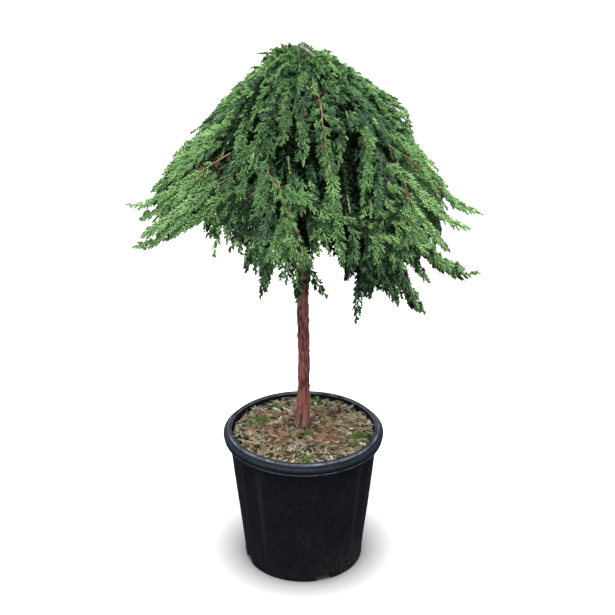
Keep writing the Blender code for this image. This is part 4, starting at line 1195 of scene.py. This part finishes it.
# Some long shoots stand out from the rest at the front and the sides. Each is given by the share
# of it that is bare brown wood, and by points that it runs through, in millimetres.
LONG_SHOOTS = (
    (0.34, ((-62, -176, 839), (-42, -196, 820), (-21, -209, 808), (4, -213, 803),
            (28, -220, 787), (53, -224, 772), (80, -218, 769))),
    (0.40, ((-43, -201, 814), (-29, -217, 794), (-21, -228, 770), (-13, -237, 750),
            (1, -246, 723), (17, -245, 678), (38, -243, 644))),
    (0.20, ((-24, -223, 782), (-16, -238, 747), (-12, -249, 711), (-9, -245, 669), (-9, -245, 632))),
    (0.45, ((27, -97, 930), (30, -132, 896), (36, -161, 863),
            (42, -182, 837), (47, -208, 804), (48, -219, 783))),
    (0.05, ((152, -166, 798), (149, -181, 776), (132, -199, 762), (109, -211, 758), (85, -222, 756))),
    (0.04, ((48, -212, 798), (53, -225, 769), (56, -234, 742), (61, -241, 717))),
    (0.04, ((-56, -180, 837), (-62, -200, 810), (-68, -213, 786), (-77, -226, 751))),
    (0.04, ((-53, -215, 790), (-62, -229, 754), (-72, -235, 729), (-90, -236, 691))),
    (0.04, ((-27, -229, 767), (-43, -242, 725), (-56, -243, 687), (-70, -237, 638))),
    (0.04, ((-21, -232, 761), (-31, -243, 725), (-34, -246, 693), (-36, -244, 672))),
    (0.04, ((-123, -87, 887), (-150, -85, 866), (-183, -69, 842), (-222, -32, 811))),
    (0.04, ((-132, -96, 873), (-161, -95, 849), (-196, -80, 824), (-236, -41, 789))),
    (0.04, ((-142, -110, 856), (-172, -109, 830), (-207, -98, 802), (-260, -40, 750))),
    (0.18, ((-131, -137, 842), (-174, -135, 808), (-228, -99, 762), (-268, -50, 730), (-299, -30, 724))),
    (0.05, ((-144, -148, 822), (-181, -145, 791), (-224, -116, 751), (-283, -32, 698))),
    (0.04, ((-147, -162, 807), (-184, -155, 770), (-223, -130, 729), (-282, -31, 664))),
    (0.04, ((-140, -168, 806), (-177, -164, 767), (-216, -144, 724), (-250, -84, 676), (-298, -35, 647))),
    (0.04, ((-130, -183, 794), (-158, -181, 763), (-194, -164, 732), (-231, -134, 699))),
    (0.04, ((-107, -187, 806), (-117, -201, 773), (-130, -204, 751), (-157, -196, 731))),
    (0.04, ((-91, -202, 794), (-97, -215, 762), (-106, -221, 737), (-119, -223, 714))),
    (0.04, ((-72, -217, 776), (-78, -227, 746), (-85, -234, 718), (-92, -233, 687))),
    (0.04, ((150, -55, 872), (176, -55, 842), (203, -45, 812), (231, -27, 782))),
    (0.04, ((146, -85, 870), (172, -92, 841), (199, -96, 811), (245, -54, 763))),
    (0.22, ((155, -108, 846), (181, -114, 817), (212, -108, 784), (252, -61, 735), (303, -30, 705))),
    (0.05, ((143, -138, 832), (173, -145, 801), (208, -135, 759), (246, -99, 717), (287, -73, 694))),
    (0.04, ((149, -161, 806), (172, -166, 770), (204, -157, 725), (249, -85, 659))),
    (0.04, ((152, -178, 778), (179, -177, 737), (216, -148, 678), (262, -70, 611), (308, -45, 602))),
    (0.04, ((142, -180, 786), (162, -187, 744), (190, -179, 706), (229, -126, 656), (281, -50, 612))),
    (0.04, ((139, -193, 767), (155, -199, 724), (177, -184, 680), (211, -150, 628))),
    (0.04, ((132, -204, 750), (142, -212, 709), (161, -196, 660), (183, -179, 613), (206, -156, 574))),
    (0.04, ((116, -212, 750), (119, -224, 710), (130, -214, 657), (157, -199, 608))),
    (0.04, ((99, -216, 759), (100, -229, 719), (94, -230, 675), (88, -232, 634), (84, -233, 590))),
    (0.04, ((77, -221, 764), (77, -234, 728), (74, -241, 696), (70, -240, 670))),
    (0.04, ((103, -215, 745), (106, -228, 709), (109, -218, 663), (107, -215, 626))),
    (0.04, ((136, -202, 739), (148, -202, 694), (164, -180, 643), (178, -159, 595))),
    (0.04, ((126, -210, 736), (136, -208, 690), (148, -192, 641), (157, -180, 603))),
    (0.04, ((153, -179, 758), (179, -181, 717), (212, -127, 660), (238, -95, 624))),
    (0.04, ((-110, -197, 782), (-119, -209, 749), (-122, -220, 723))),
    (0.04, ((-65, -228, 750), (-65, -242, 718), (-61, -242, 680))),
    (0.04, ((-81, -224, 748), (-81, -236, 715), (-74, -238, 682))),
    (0.04, ((-50, -233, 745), (-53, -246, 709), (-65, -240, 665))),
    (0.04, ((-96, -208, 773), (-101, -222, 737), (-98, -235, 712))),
    (0.04, ((-31, -229, 760), (-26, -245, 726), (-21, -248, 690))),
    (0.04, ((14, -227, 766), (17, -239, 740), (21, -248, 717))),
    (0.04, ((29, -227, 763), (36, -238, 737), (42, -246, 714))),
    (0.04, ((52, -228, 753), (58, -240, 724), (63, -240, 693))),
    (0.04, ((-157, -169, 782), (-155, -184, 757), (-160, -191, 735))),
    (0.04, ((-142, -181, 780), (-140, -195, 754), (-148, -200, 732))),
    (0.04, ((193, -102, 792), (217, -96, 762), (235, -95, 733))),
    (0.04, ((110, -151, 860), (117, -157, 818), (119, -186, 781), (118, -205, 751))),
    (0.04, ((98, -128, 890), (103, -154, 861), (100, -169, 816), (93, -199, 783))),
    (0.04, ((-66, -134, 892), (-75, -155, 865), (-85, -169, 836))),
    (0.04, ((-92, -150, 860), (-96, -168, 829), (-98, -193, 798), (-101, -212, 761))),
    (0.04, ((0, -147, 896), (3, -173, 871), (0, -183, 844))),
    (0.04, ((-31, -120, 914), (-27, -144, 895), (-35, -166, 872))),
    (0.04, ((93, -232, 700), (101, -221, 660), (108, -214, 627))),
    (0.04, ((116, -221, 695), (122, -211, 663), (120, -210, 640))),
    (0.04, ((143, -204, 688), (155, -187, 646), (163, -175, 610))),
    (0.04, ((155, -188, 650), (174, -165, 607), (198, -136, 568))),
    (0.04, ((193, -98, 794), (238, -60, 749), (272, -30, 722), (299, -30, 713))),
    (0.04, ((186, -175, 715), (212, -128, 664), (245, -60, 617), (276, -50, 605))),
    (0.04, ((155, -28, 900), (169, -48, 886), (178, -66, 874))),
    (0.04, ((157, -51, 893), (171, -69, 878), (181, -72, 862))),
    (0.04, ((-70, -232, 738), (-69, -242, 715), (-74, -241, 694))),
    (0.04, ((-60, -244, 715), (-62, -244, 681), (-60, -241, 652))),
    (0.04, ((-26, -248, 717), (-24, -248, 690), (-29, -245, 668))),
    (0.04, ((15, -233, 752), (23, -242, 731), (26, -248, 715))),
    (0.40, ((153, -142, 820), (159, -160, 799), (162, -171, 776), (162, -191, 735), (156, -207, 696))),
)
# A larger bare share than this is drawn as brown wood.
BARE_WOOD = 0.1
bare_shares = {}
for bare, stations in LONG_SHOOTS:
    knots = np.array(stations) / 1000
    reach = np.concatenate([[0.0], np.cumsum(np.linalg.norm(np.diff(knots, axis=0), axis=1))])
    knots = np.vstack([2 * knots[0] - knots[1], knots, 2 * knots[-1] - knots[-2]])
    reach = reach / reach[-1]
    path = []
    for step in range(LEADER_STEPS + 1):
        along = step / LEADER_STEPS
        span = min(len(reach) - 2, int(np.searchsorted(reach, along, side="right")) - 1)
        t = (along - reach[span]) / (reach[span + 1] - reach[span])
        p0, p1, p2, p3 = knots[span:span + 4]
        place = 0.5 * (2 * p1 + (p2 - p0) * t + (2 * p0 - 5 * p1 + 4 * p2 - p3) * t * t
                       + (3 * p1 - p0 - 3 * p2 + p3) * t ** 3)
        path.append(Vector(place))
    # It is carried out over the others, and its first points lead back into the crown.
    forward = 1.05 if bare > BARE_WOOD else 1.03
    path = [Vector((point.x, point.y, 0)) * (forward - 0.03 * step / LEADER_STEPS) + Vector((0, 0, point.z))
            for step, point in enumerate(path)]
    first = path[0]
    path[0] = Vector((first.x * 0.86, first.y * 0.86, first.z + 0.004))
    path[1] = (path[0] + path[2]) / 2
    bare_shares[len(leaders)] = bare
    azimuth = math.atan2(path[-1].x, -path[-1].y)
    leaders.append(("long", azimuth, path))


# Side shoots
# Each leading shoot carries side shoots in two ranks, like a feather, and the longer of those
# fork again. They get shorter towards the tip of the leading shoot.
TINTS = ("fresh", "mid", "blue", "deep", "dark", "bright", "dry")
# Distances between side shoots: on leading shoots that show, on hidden ones, and on bare wood.
SIDE_PITCH = 0.0050
HIDDEN_PITCH = 0.0085
BARE_PITCH = 0.011
# Share of a leading shoot that has no side shoots yet.
LEAFY_FROM = {"outer": 0.46, "under": 0.36, "inner": 0.12, "top": 0.15}
# Longest side shoots: on those that show, on the long ones, and on hidden ones.
LONGEST = (0.0110, 0.0160)
LONGEST_ON_LONG = (0.0120, 0.0165)
LONGEST_HIDDEN = 0.026
# Twigs of a side shoot: place along it, its side, size, and shortest side shoot that has one there.
FORKS = ((0.30, 1.0, 0.52, 0.0080), (0.52, -1.0, 0.42, 0.0105))
# Share of the side shoots that have one more beside them, which stands out from the crown.
OUT_SHARE = 0.34
# Length of the straight parts in which the leading shoot itself is clothed with needles.
CLOTHED_PART = 0.02
# Side shoots begin this short at the tip, and get longer with the distance from it.
TIP_LENGTH = 0.0046
LENGTH_GAIN = 0.20
TIP_GAP = 0.004
PITCH_SCATTER = 0.0012
TANGENT_STEP = 0.003
# Side shoots begin at most this deep in a dark gap.
GAP_EDGE = 0.45
# Degrees between side shoots and leading shoot: at the tip, gain to the metre, and the widest.
TIP_ANGLE = 26
ANGLE_GAIN = 360
WIDEST_ANGLE = 47
WIDEST_ON_LONG = 38
SAG = 0.16
# Length of a tip that may be bright with new growth, more often at the sides as painted light, and share of
# its side shoots that then are.
BRIGHT_TIP = 0.035
BRIGHT_SHARE = 0.7
# Shares of the side shoots that have another tint than their leading shoot, that are painted bluish or
# deep green as shade, and that are withered near the wood: on bare wood and elsewhere.
OTHER_SHARE = 0.25
BLUE_IN_SHADE = 0.85
DEEP_IN_SHADE = 0.54
WITHERED = (0.16, 0.005)
WITHERED_PART = 0.25
# Radius of the stems, the share of it that is lost towards the tip, and their sides.
STEM_RADIUS = (0.0010, 0.7)
LONG_STEM_RADIUS = (0.0016, 0.75)
STEM_SIDES = 4
# From this height down, over this length, side shoots at the front and the back are painted darker as shade.
SHADE_Z = 0.755
SHADE_FADE = 0.08
cords = {tint: [] for tint in TINTS}


def unit(rows):
    """Rows of an array brought to length one."""
    return rows / np.maximum(np.linalg.norm(rows, axis=1, keepdims=True), 1e-9)


def choose_tint(kind, azimuth, height, roll):
    """Tint of a leading shoot, with painted light and shade: dark inside, bluish and darker low at the front
    as painted shade, fresh and bright at the sides and on top as painted light.
    """
    side_on = abs(math.sin(azimuth))
    sunny = 0.75 * side_on + 1.4 * max(0.0, height - 0.86)
    bright = ("bright", 0.7 * (side_on - 0.45))
    if kind == "inner":
        steps = (("dark", 1.0),)
    elif kind == "under":
        steps = (("blue", 0.10), ("deep", 0.50), ("dark", 1.0))
    elif kind == "long" and height < 0.76 and side_on < 0.70:
        steps = (bright, ("fresh", 0.22), ("mid", 0.54), ("blue", 0.82), ("deep", 1.0))
    elif kind == "long":
        steps = (bright, ("fresh", 0.28 + 0.8 * sunny), ("mid", 0.80 + 0.4 * sunny), ("blue", 1.0))
    elif height < 0.80 and side_on < 0.75:
        steps = (("mid", 0.22), ("blue", 0.66), ("deep", 1.0))
    else:
        steps = (("fresh", 0.60 * sunny - 0.05), ("mid", 0.26 + 0.56 * sunny),
                 ("blue", 0.78 + 0.26 * sunny), ("deep", 1.0))
    return next(tint for tint, limit in steps if roll < limit)


def places_along(distances, reach, knots):
    """Points of a path at some distances along it."""
    return np.stack([np.interp(distances, reach, knots[:, axis]) for axis in range(3)], axis=1)


draw = np.random.default_rng(5)
for number, (kind, azimuth, path) in enumerate(leaders):
    knots = np.array([tuple(point) for point in path])
    gaps = np.linalg.norm(np.diff(knots, axis=0), axis=1)
    reach = np.concatenate([[0.0], np.cumsum(gaps)])
    total = reach[-1]
    half_bare = bare_shares.get(number, 0.0) > BARE_WOOD
    if kind == "long":
        stem = path[::2]
        radius, lost = LONG_STEM_RADIUS
        radii = [radius * (1 - lost * step / (len(stem) - 1)) for step in range(len(stem))]
        add_limb("bough" if half_bare else "shoot", stem, radii, STEM_SIDES, 0.0)
    else:
        # A stem that crosses a dark gap begins beyond it.
        crossing = [step for step, point in enumerate(path) if kind == "outer" and gap_depth(*point) > 0.1]
        stem = path[crossing[-1] + 1::2] if crossing else path[::2]
        if len(stem) > 2:
            radius, lost = STEM_RADIUS
            radii = [radius * (1 - lost * step / len(stem)) for step in range(len(stem))]
            add_limb("shoot", stem, radii, STEM_SIDES, 0.0)
    tint = choose_tint(kind, azimuth, path[-1].z, draw.random())
    if half_bare:
        tint = "fresh"
    fine = kind in ("outer", "long", "top")
    pitch = SIDE_PITCH if fine else HIDDEN_PITCH
    start = bare_shares[number] if kind == "long" else LEAFY_FROM[kind]
    along = np.arange(total * start, total - TIP_GAP, pitch)
    along = along + draw.uniform(-PITCH_SCATTER, PITCH_SCATTER, len(along))
    if half_bare:
        along = np.concatenate([np.arange(total * 0.04, total * start, BARE_PITCH), along])
    spot = places_along(along, reach, knots)
    if kind == "outer":
        edge = draw.uniform(0.0, GAP_EDGE, len(along))
        kept = np.array([gap_depth(*place) for place in spot]) <= edge
        along, spot = along[kept], spot[kept]
    count = len(along)
    if count == 0:
        continue
    tangent = unit(places_along(along + TANGENT_STEP, reach, knots)
                   - places_along(along - TANGENT_STEP, reach, knots))
    level = np.maximum(np.hypot(spot[:, 0], spot[:, 1]), 0.004)
    outward = np.stack([spot[:, 0] / level, spot[:, 1] / level, np.full(count, 0.45)], axis=1)
    outward = unit(outward - tangent * np.sum(outward * tangent, axis=1, keepdims=True))
    across = np.cross(tangent, outward)
    side = np.where(np.arange(count) % 2 == 0, 1.0, -1.0)[:, None]
    to_tip = total - along
    side_on = abs(math.sin(azimuth))
    slim = clamp((LOW_Z - path[-1].z) / LOW_FADE) * clamp(1.6 - 1.6 * side_on)
    longest = draw.uniform(*LONGEST) * (1 - 0.36 * slim) if fine else LONGEST_HIDDEN
    if kind == "long":
        longest = draw.uniform(*LONGEST_ON_LONG)
    rough = min(1.0, max(0.3, (path[-1].z - 0.74) / 0.10))
    length = np.minimum(TIP_LENGTH + LENGTH_GAIN * to_tip, longest)
    length = length * draw.uniform(1 - 0.42 * rough, 1.20, count)
    high = clamp((path[-1].z - 0.84) / 0.08)
    widest = WIDEST_ON_LONG if kind == "long" else WIDEST_ANGLE + 8 * high - 9 * slim
    angle = np.minimum(TIP_ANGLE + ANGLE_GAIN * to_tip, widest)
    angle = angle + draw.uniform(-1, 1, count) * (6 + 10 * rough)
    angle = np.radians(angle)[:, None]
    lift = draw.uniform(-0.10 - 0.20 * rough, 0.35 + 0.35 * rough + 0.30 * high, count)[:, None]
    way = unit(tangent * np.cos(angle) + across * side * np.sin(angle) + outward * lift)
    sag = np.tile([0.0, 0.0, -SAG], (count, 1)) + tangent * 0.10
    tints = np.full(count, TINTS.index(tint))
    if fine:
        roll = draw.random(count)
        others = draw.choice([TINTS.index(other) for other in ("fresh", "mid", "blue", "deep")], count)
        tints = np.where(roll < OTHER_SHARE, others, tints)
        # Tips at the sides get bright new growth more often, as painted light.
        if draw.random() < 0.20 + 0.20 * side_on:
            new_growth = (to_tip < BRIGHT_TIP) & (draw.random(count) < BRIGHT_SHARE)
            tints = np.where(new_growth, TINTS.index("bright"), tints)
        # Painted shade: low side shoots at the front and the back turn bluish and deep green.
        shade = np.clip((SHADE_Z - spot[:, 2]) / SHADE_FADE, 0.0, 1.0) * frontness(azimuth)
        roll = draw.random(count)
        tints = np.where(roll < BLUE_IN_SHADE * shade, TINTS.index("blue"), tints)
        tints = np.where(roll < DEEP_IN_SHADE * shade, TINTS.index("deep"), tints)
        withered = WITHERED[0] if half_bare else WITHERED[1]
        near_wood = along < total * (start + WITHERED_PART)
        tints = np.where((draw.random(count) < withered) & near_wood, TINTS.index("dry"), tints)
    groups = [(spot, way, sag, length, tints)]
    if fine:
        for share, turn, size, shortest in FORKS:
            forked = length > shortest
            spur = unit(way * 0.78 + np.cross(way, outward) * side * turn * (0.44 + 0.20 * rough)
                        + outward * draw.uniform(-0.1, 0.5, (count, 1)))
            base = spot + way * (length * share)[:, None] + sag * (length * share * share)[:, None]
            groups.append((base[forked], spur[forked], sag[forked], length[forked] * size, tints[forked]))
        out = draw.random(count) < OUT_SHARE
        way = unit(tangent * 0.72 + outward * 0.60 + across * draw.uniform(-0.35, 0.35, (count, 1)))
        groups.append((spot[out], way[out], sag[out], length[out] * 0.66, tints[out]))
    pieces = max(3, round(total * 0.7 / CLOTHED_PART))
    marks = np.linspace(total * max(start, 0.3), total, pieces + 1)
    ends = places_along(marks, reach, knots)
    steps = np.diff(ends, axis=0)
    if kind == "outer":
        kept = np.array([gap_depth(*place) for place in (ends[:-1] + ends[1:]) / 2]) <= 0.2
        ends, steps = np.vstack([ends[:-1][kept], ends[-1:]]), steps[kept]
        pieces = len(steps)
    own = np.full(pieces, TINTS.index(tint))
    # The last pieces of a leading shoot are bright, more often at the sides, as painted light.
    if fine and draw.random() < 0.30 + 0.25 * side_on:
        own[-2:] = TINTS.index("bright")
    groups.append((ends[:-1], unit(steps), np.zeros((pieces, 3)), np.linalg.norm(steps, axis=1), own))
    for base, way, bend, size, tint_numbers in groups:
        for index in np.unique(tint_numbers):
            chosen = tint_numbers == index
            cords[TINTS[index]].append((base[chosen], way[chosen], bend[chosen], size[chosen]))


# Needles
# Short needles lie so closely on every side shoot that it looks like a rough green cord. A cord
# is a tapering body of overlapping needle feet, with whorls of needle points that stand off it.
NEEDLE_LENGTH = 0.0042
NEEDLE_WIDTH = 0.0018
NEEDLE_LENGTH_SHARES = (0.80, 1.20)
NEEDLE_WIDTH_SHARES = (0.85, 1.15)
NEEDLE_LEANS = (20, 50)
CORD_RADIUS = 0.0016
CORD_SIDES = 3
# Places of the body's rings along it, and their shares of the radius.
CORD_RINGS = ((0.0, 0.84), (0.62, 0.98))
FACES_PER_PIECE = 180000
# tint: colour, pitch of the whorls, needles in a whorl, thickness
# The deep and dark tints mostly stand for painted shade inside the crown and low at its front.
NEEDLE_KINDS = {
    "fresh": ((0.215, 0.410, 0.146), 0.0030, 4, 1.00),
    "mid": ((0.150, 0.300, 0.116), 0.0030, 4, 1.00),
    "blue": ((0.106, 0.216, 0.112), 0.0030, 4, 1.00),
    "deep": ((0.024, 0.060, 0.022), 0.0042, 3, 1.30),
    "dark": ((0.0048, 0.0140, 0.0046), 0.0055, 3, 2.00),
    "bright": ((0.320, 0.540, 0.215), 0.0030, 4, 0.95),
    "dry": ((0.190, 0.140, 0.065), 0.0032, 4, 0.90),
}
# A body is painted darker than the needles that stand off it, as shade under them.
CORE_SHADE = 0.44
NEEDLE_LOOK = (0.62, 0.22, 38.0)
CORE_LOOK = (0.70, 0.22, 38.0)
NEEDLE_SHINE = 0.15


def frames_of(tangent):
    """Two unit directions square to each tangent."""
    helper = np.where(np.abs(tangent[:, 2:3]) < 0.8, [[0.0, 0.0, 1.0]], [[1.0, 0.0, 0.0]])
    across = unit(np.cross(tangent, helper))
    return across, np.cross(tangent, across)


def slimness(length):
    """Share of the full thickness that cords of some lengths have."""
    return np.minimum(1.0, 0.45 + length / 0.016)


def cord_bodies(base, direction, sag, length, thickness, throw):
    """Points and faces of the tapering bodies of some cords."""
    across, above = frames_of(direction)
    count = len(length)
    start_turn = throw.uniform(0, 2 * math.pi, count)
    slim = slimness(length) * CORD_RADIUS * thickness * throw.uniform(0.88, 1.12, count)
    rings = []
    for order, (share, radius) in enumerate(CORD_RINGS):
        centre = base + (direction * share + sag * share * share) * length[:, None]
        for side in range(CORD_SIDES):
            angle = start_turn + 2 * math.pi * (side + 0.5 * (order % 2)) / CORD_SIDES
            away = across * np.cos(angle)[:, None] + above * np.sin(angle)[:, None]
            rings.append(centre + away * (slim * radius)[:, None])
    rings.append(base + (direction + sag) * length[:, None])
    points = np.stack(rings, axis=1)
    faces = []
    for order in range(len(CORD_RINGS) - 1):
        here, there = order * CORD_SIDES, (order + 1) * CORD_SIDES
        for side in range(CORD_SIDES):
            after = (side + 1) % CORD_SIDES
            if order % 2 == 0:
                faces += [(here + side, here + after, there + side),
                          (here + after, there + after, there + side)]
            else:
                faces += [(here + side, here + after, there + after),
                          (here + side, there + after, there + side)]
    last = (len(CORD_RINGS) - 1) * CORD_SIDES
    faces += [(last + side, last + (side + 1) % CORD_SIDES, last + CORD_SIDES) for side in range(CORD_SIDES)]
    per_cord = len(CORD_RINGS) * CORD_SIDES + 1
    offsets = np.arange(count)[:, None, None] * per_cord
    return points.reshape(-1, 3), (np.array(faces)[None] + offsets).reshape(-1, 3)


def needle_points(base, direction, sag, length, pitch, arms, thickness, throw):
    """Points and faces of the needles that stand off some cords, one face to a needle."""
    whorls = np.maximum(2, np.round(length / pitch)).astype(int)
    owner = np.repeat(np.arange(len(length)), whorls)
    order = np.arange(len(owner)) - np.repeat(np.cumsum(whorls) - whorls, whorls)
    share = (order + 0.3) / whorls[owner]
    reach = length[owner][:, None]
    column = share[:, None]
    spot = base[owner] + (direction[owner] * column + sag[owner] * column ** 2) * reach
    tangent = unit(direction[owner] + 2 * sag[owner] * column)
    across, above = frames_of(tangent)
    count = len(owner)
    turn = order * (math.pi / arms) + throw.uniform(-0.3, 0.3, count)
    slim = slimness(length[owner]) * thickness
    body = slim * CORD_RADIUS * (1 - 0.45 * share ** 2) * 0.80
    needles = []
    for arm in range(arms):
        angle = turn + arm * 2 * math.pi / arms
        radial = across * np.cos(angle)[:, None] + above * np.sin(angle)[:, None]
        around = np.cross(tangent, radial)
        lean = np.radians(throw.uniform(*NEEDLE_LEANS, count)) * (1 - 0.5 * share ** 3)
        along = tangent * np.cos(lean)[:, None] + radial * np.sin(lean)[:, None]
        long = (slim * NEEDLE_LENGTH * throw.uniform(*NEEDLE_LENGTH_SHARES, count))[:, None]
        wide = (slim * NEEDLE_WIDTH * 0.5 * throw.uniform(*NEEDLE_WIDTH_SHARES, count))[:, None]
        foot = spot + radial * body[:, None]
        needles.append(np.stack([foot - around * wide, foot + around * wide, foot + along * long], axis=1))
    points = np.concatenate(needles).reshape(-1, 3)
    return points, np.arange(len(points)).reshape(-1, 3)


foliage_nodes = [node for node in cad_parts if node.startswith("foliage_")]
for number, (tint, (colour, pitch, arms, thickness)) in enumerate(NEEDLE_KINDS.items()):
    throw = np.random.default_rng(11 + number)
    base, direction, sag, length = (np.concatenate(parts) for parts in zip(*cords[tint]))
    material = plain_tint("needles_" + tint, colour, *NEEDLE_LOOK)
    core_colour = tuple(channel * CORE_SHADE for channel in colour)
    core = plain_tint("cores_" + tint, core_colour, *CORE_LOOK)
    for look in (material, core):
        shine = look.node_tree.nodes["Principled BSDF"].inputs["Specular IOR Level"]
        shine.default_value = NEEDLE_SHINE
    mean_whorls = float(np.mean(np.maximum(2, np.round(length / pitch))))
    mean_faces = (2 * len(CORD_RINGS) - 1) * CORD_SIDES + arms * mean_whorls
    per_piece = int(FACES_PER_PIECE / mean_faces)
    for part, first in enumerate(range(0, len(length), per_piece)):
        some = [values[first:first + per_piece] for values in (base, direction, sag, length)]
        bodies, body_faces = cord_bodies(*some, thickness, throw)
        needles, faces = needle_points(*some, pitch, arms, thickness, throw)
        for what, points, corners, look in (("needles", needles, faces, material),
                                            ("cores", bodies, body_faces, core)):
            piece = put_mesh(f"{what}_{tint}_{part + 1}", points, corners, look)
            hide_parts(*foliage_nodes)


# Stems
# The brown wood of the boughs and of the leading shoots, and at the very top the grey stub that
# was left when the leading stem was pruned.
STUB_LINE = ((-0.004, -0.008, 0.984), (-0.002, -0.012, 0.993), (0.008, -0.022, 0.988),
             (0.019, -0.032, 0.980), (0.0192, -0.0322, 0.9799))
STUB_RADII = (0.0026, 0.0030, 0.0029, 0.0031, 0.0004)
STUB_LUMPS = 0.22
wood["stub"] = ([], [])
add_limb("stub", [Vector(place) for place in STUB_LINE], STUB_RADII, LIMB_SIDES, STUB_LUMPS)
bough_nodes = [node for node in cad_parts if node.startswith("bough_")]
# Colours of the grain, from its hollows to its ridges.
GRAIN_STOPS = (0.32, 0.50, 0.70)
WOOD_TONES = {
    "bough": ((0.090, 0.047, 0.023), (0.190, 0.100, 0.048), (0.320, 0.190, 0.100)),
    "shoot": ((0.020, 0.011, 0.006), (0.052, 0.029, 0.016), (0.105, 0.065, 0.036)),
    "stub": ((0.105, 0.085, 0.080), (0.190, 0.160, 0.152), (0.330, 0.290, 0.275)),
}
for kind, tones in WOOD_TONES.items():
    wood_look, tree, shader = start_material(kind + "_wood", 0.6)
    grain = add_noise(tree, object_place(tree), 120.0, 3.0)
    grain_colour = add_ramp(tree, grain.outputs[0], list(zip(GRAIN_STOPS, tones)))
    tree.links.new(grain_colour.outputs[0], shader.inputs["Base Color"])
    add_bump(tree, shader, grain.outputs[0], 0.0004)
    points, faces = wood[kind]
    piece = put_mesh(kind + "_stems", [tuple(point) for point in points], faces, wood_look, True)
    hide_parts(*bough_nodes)
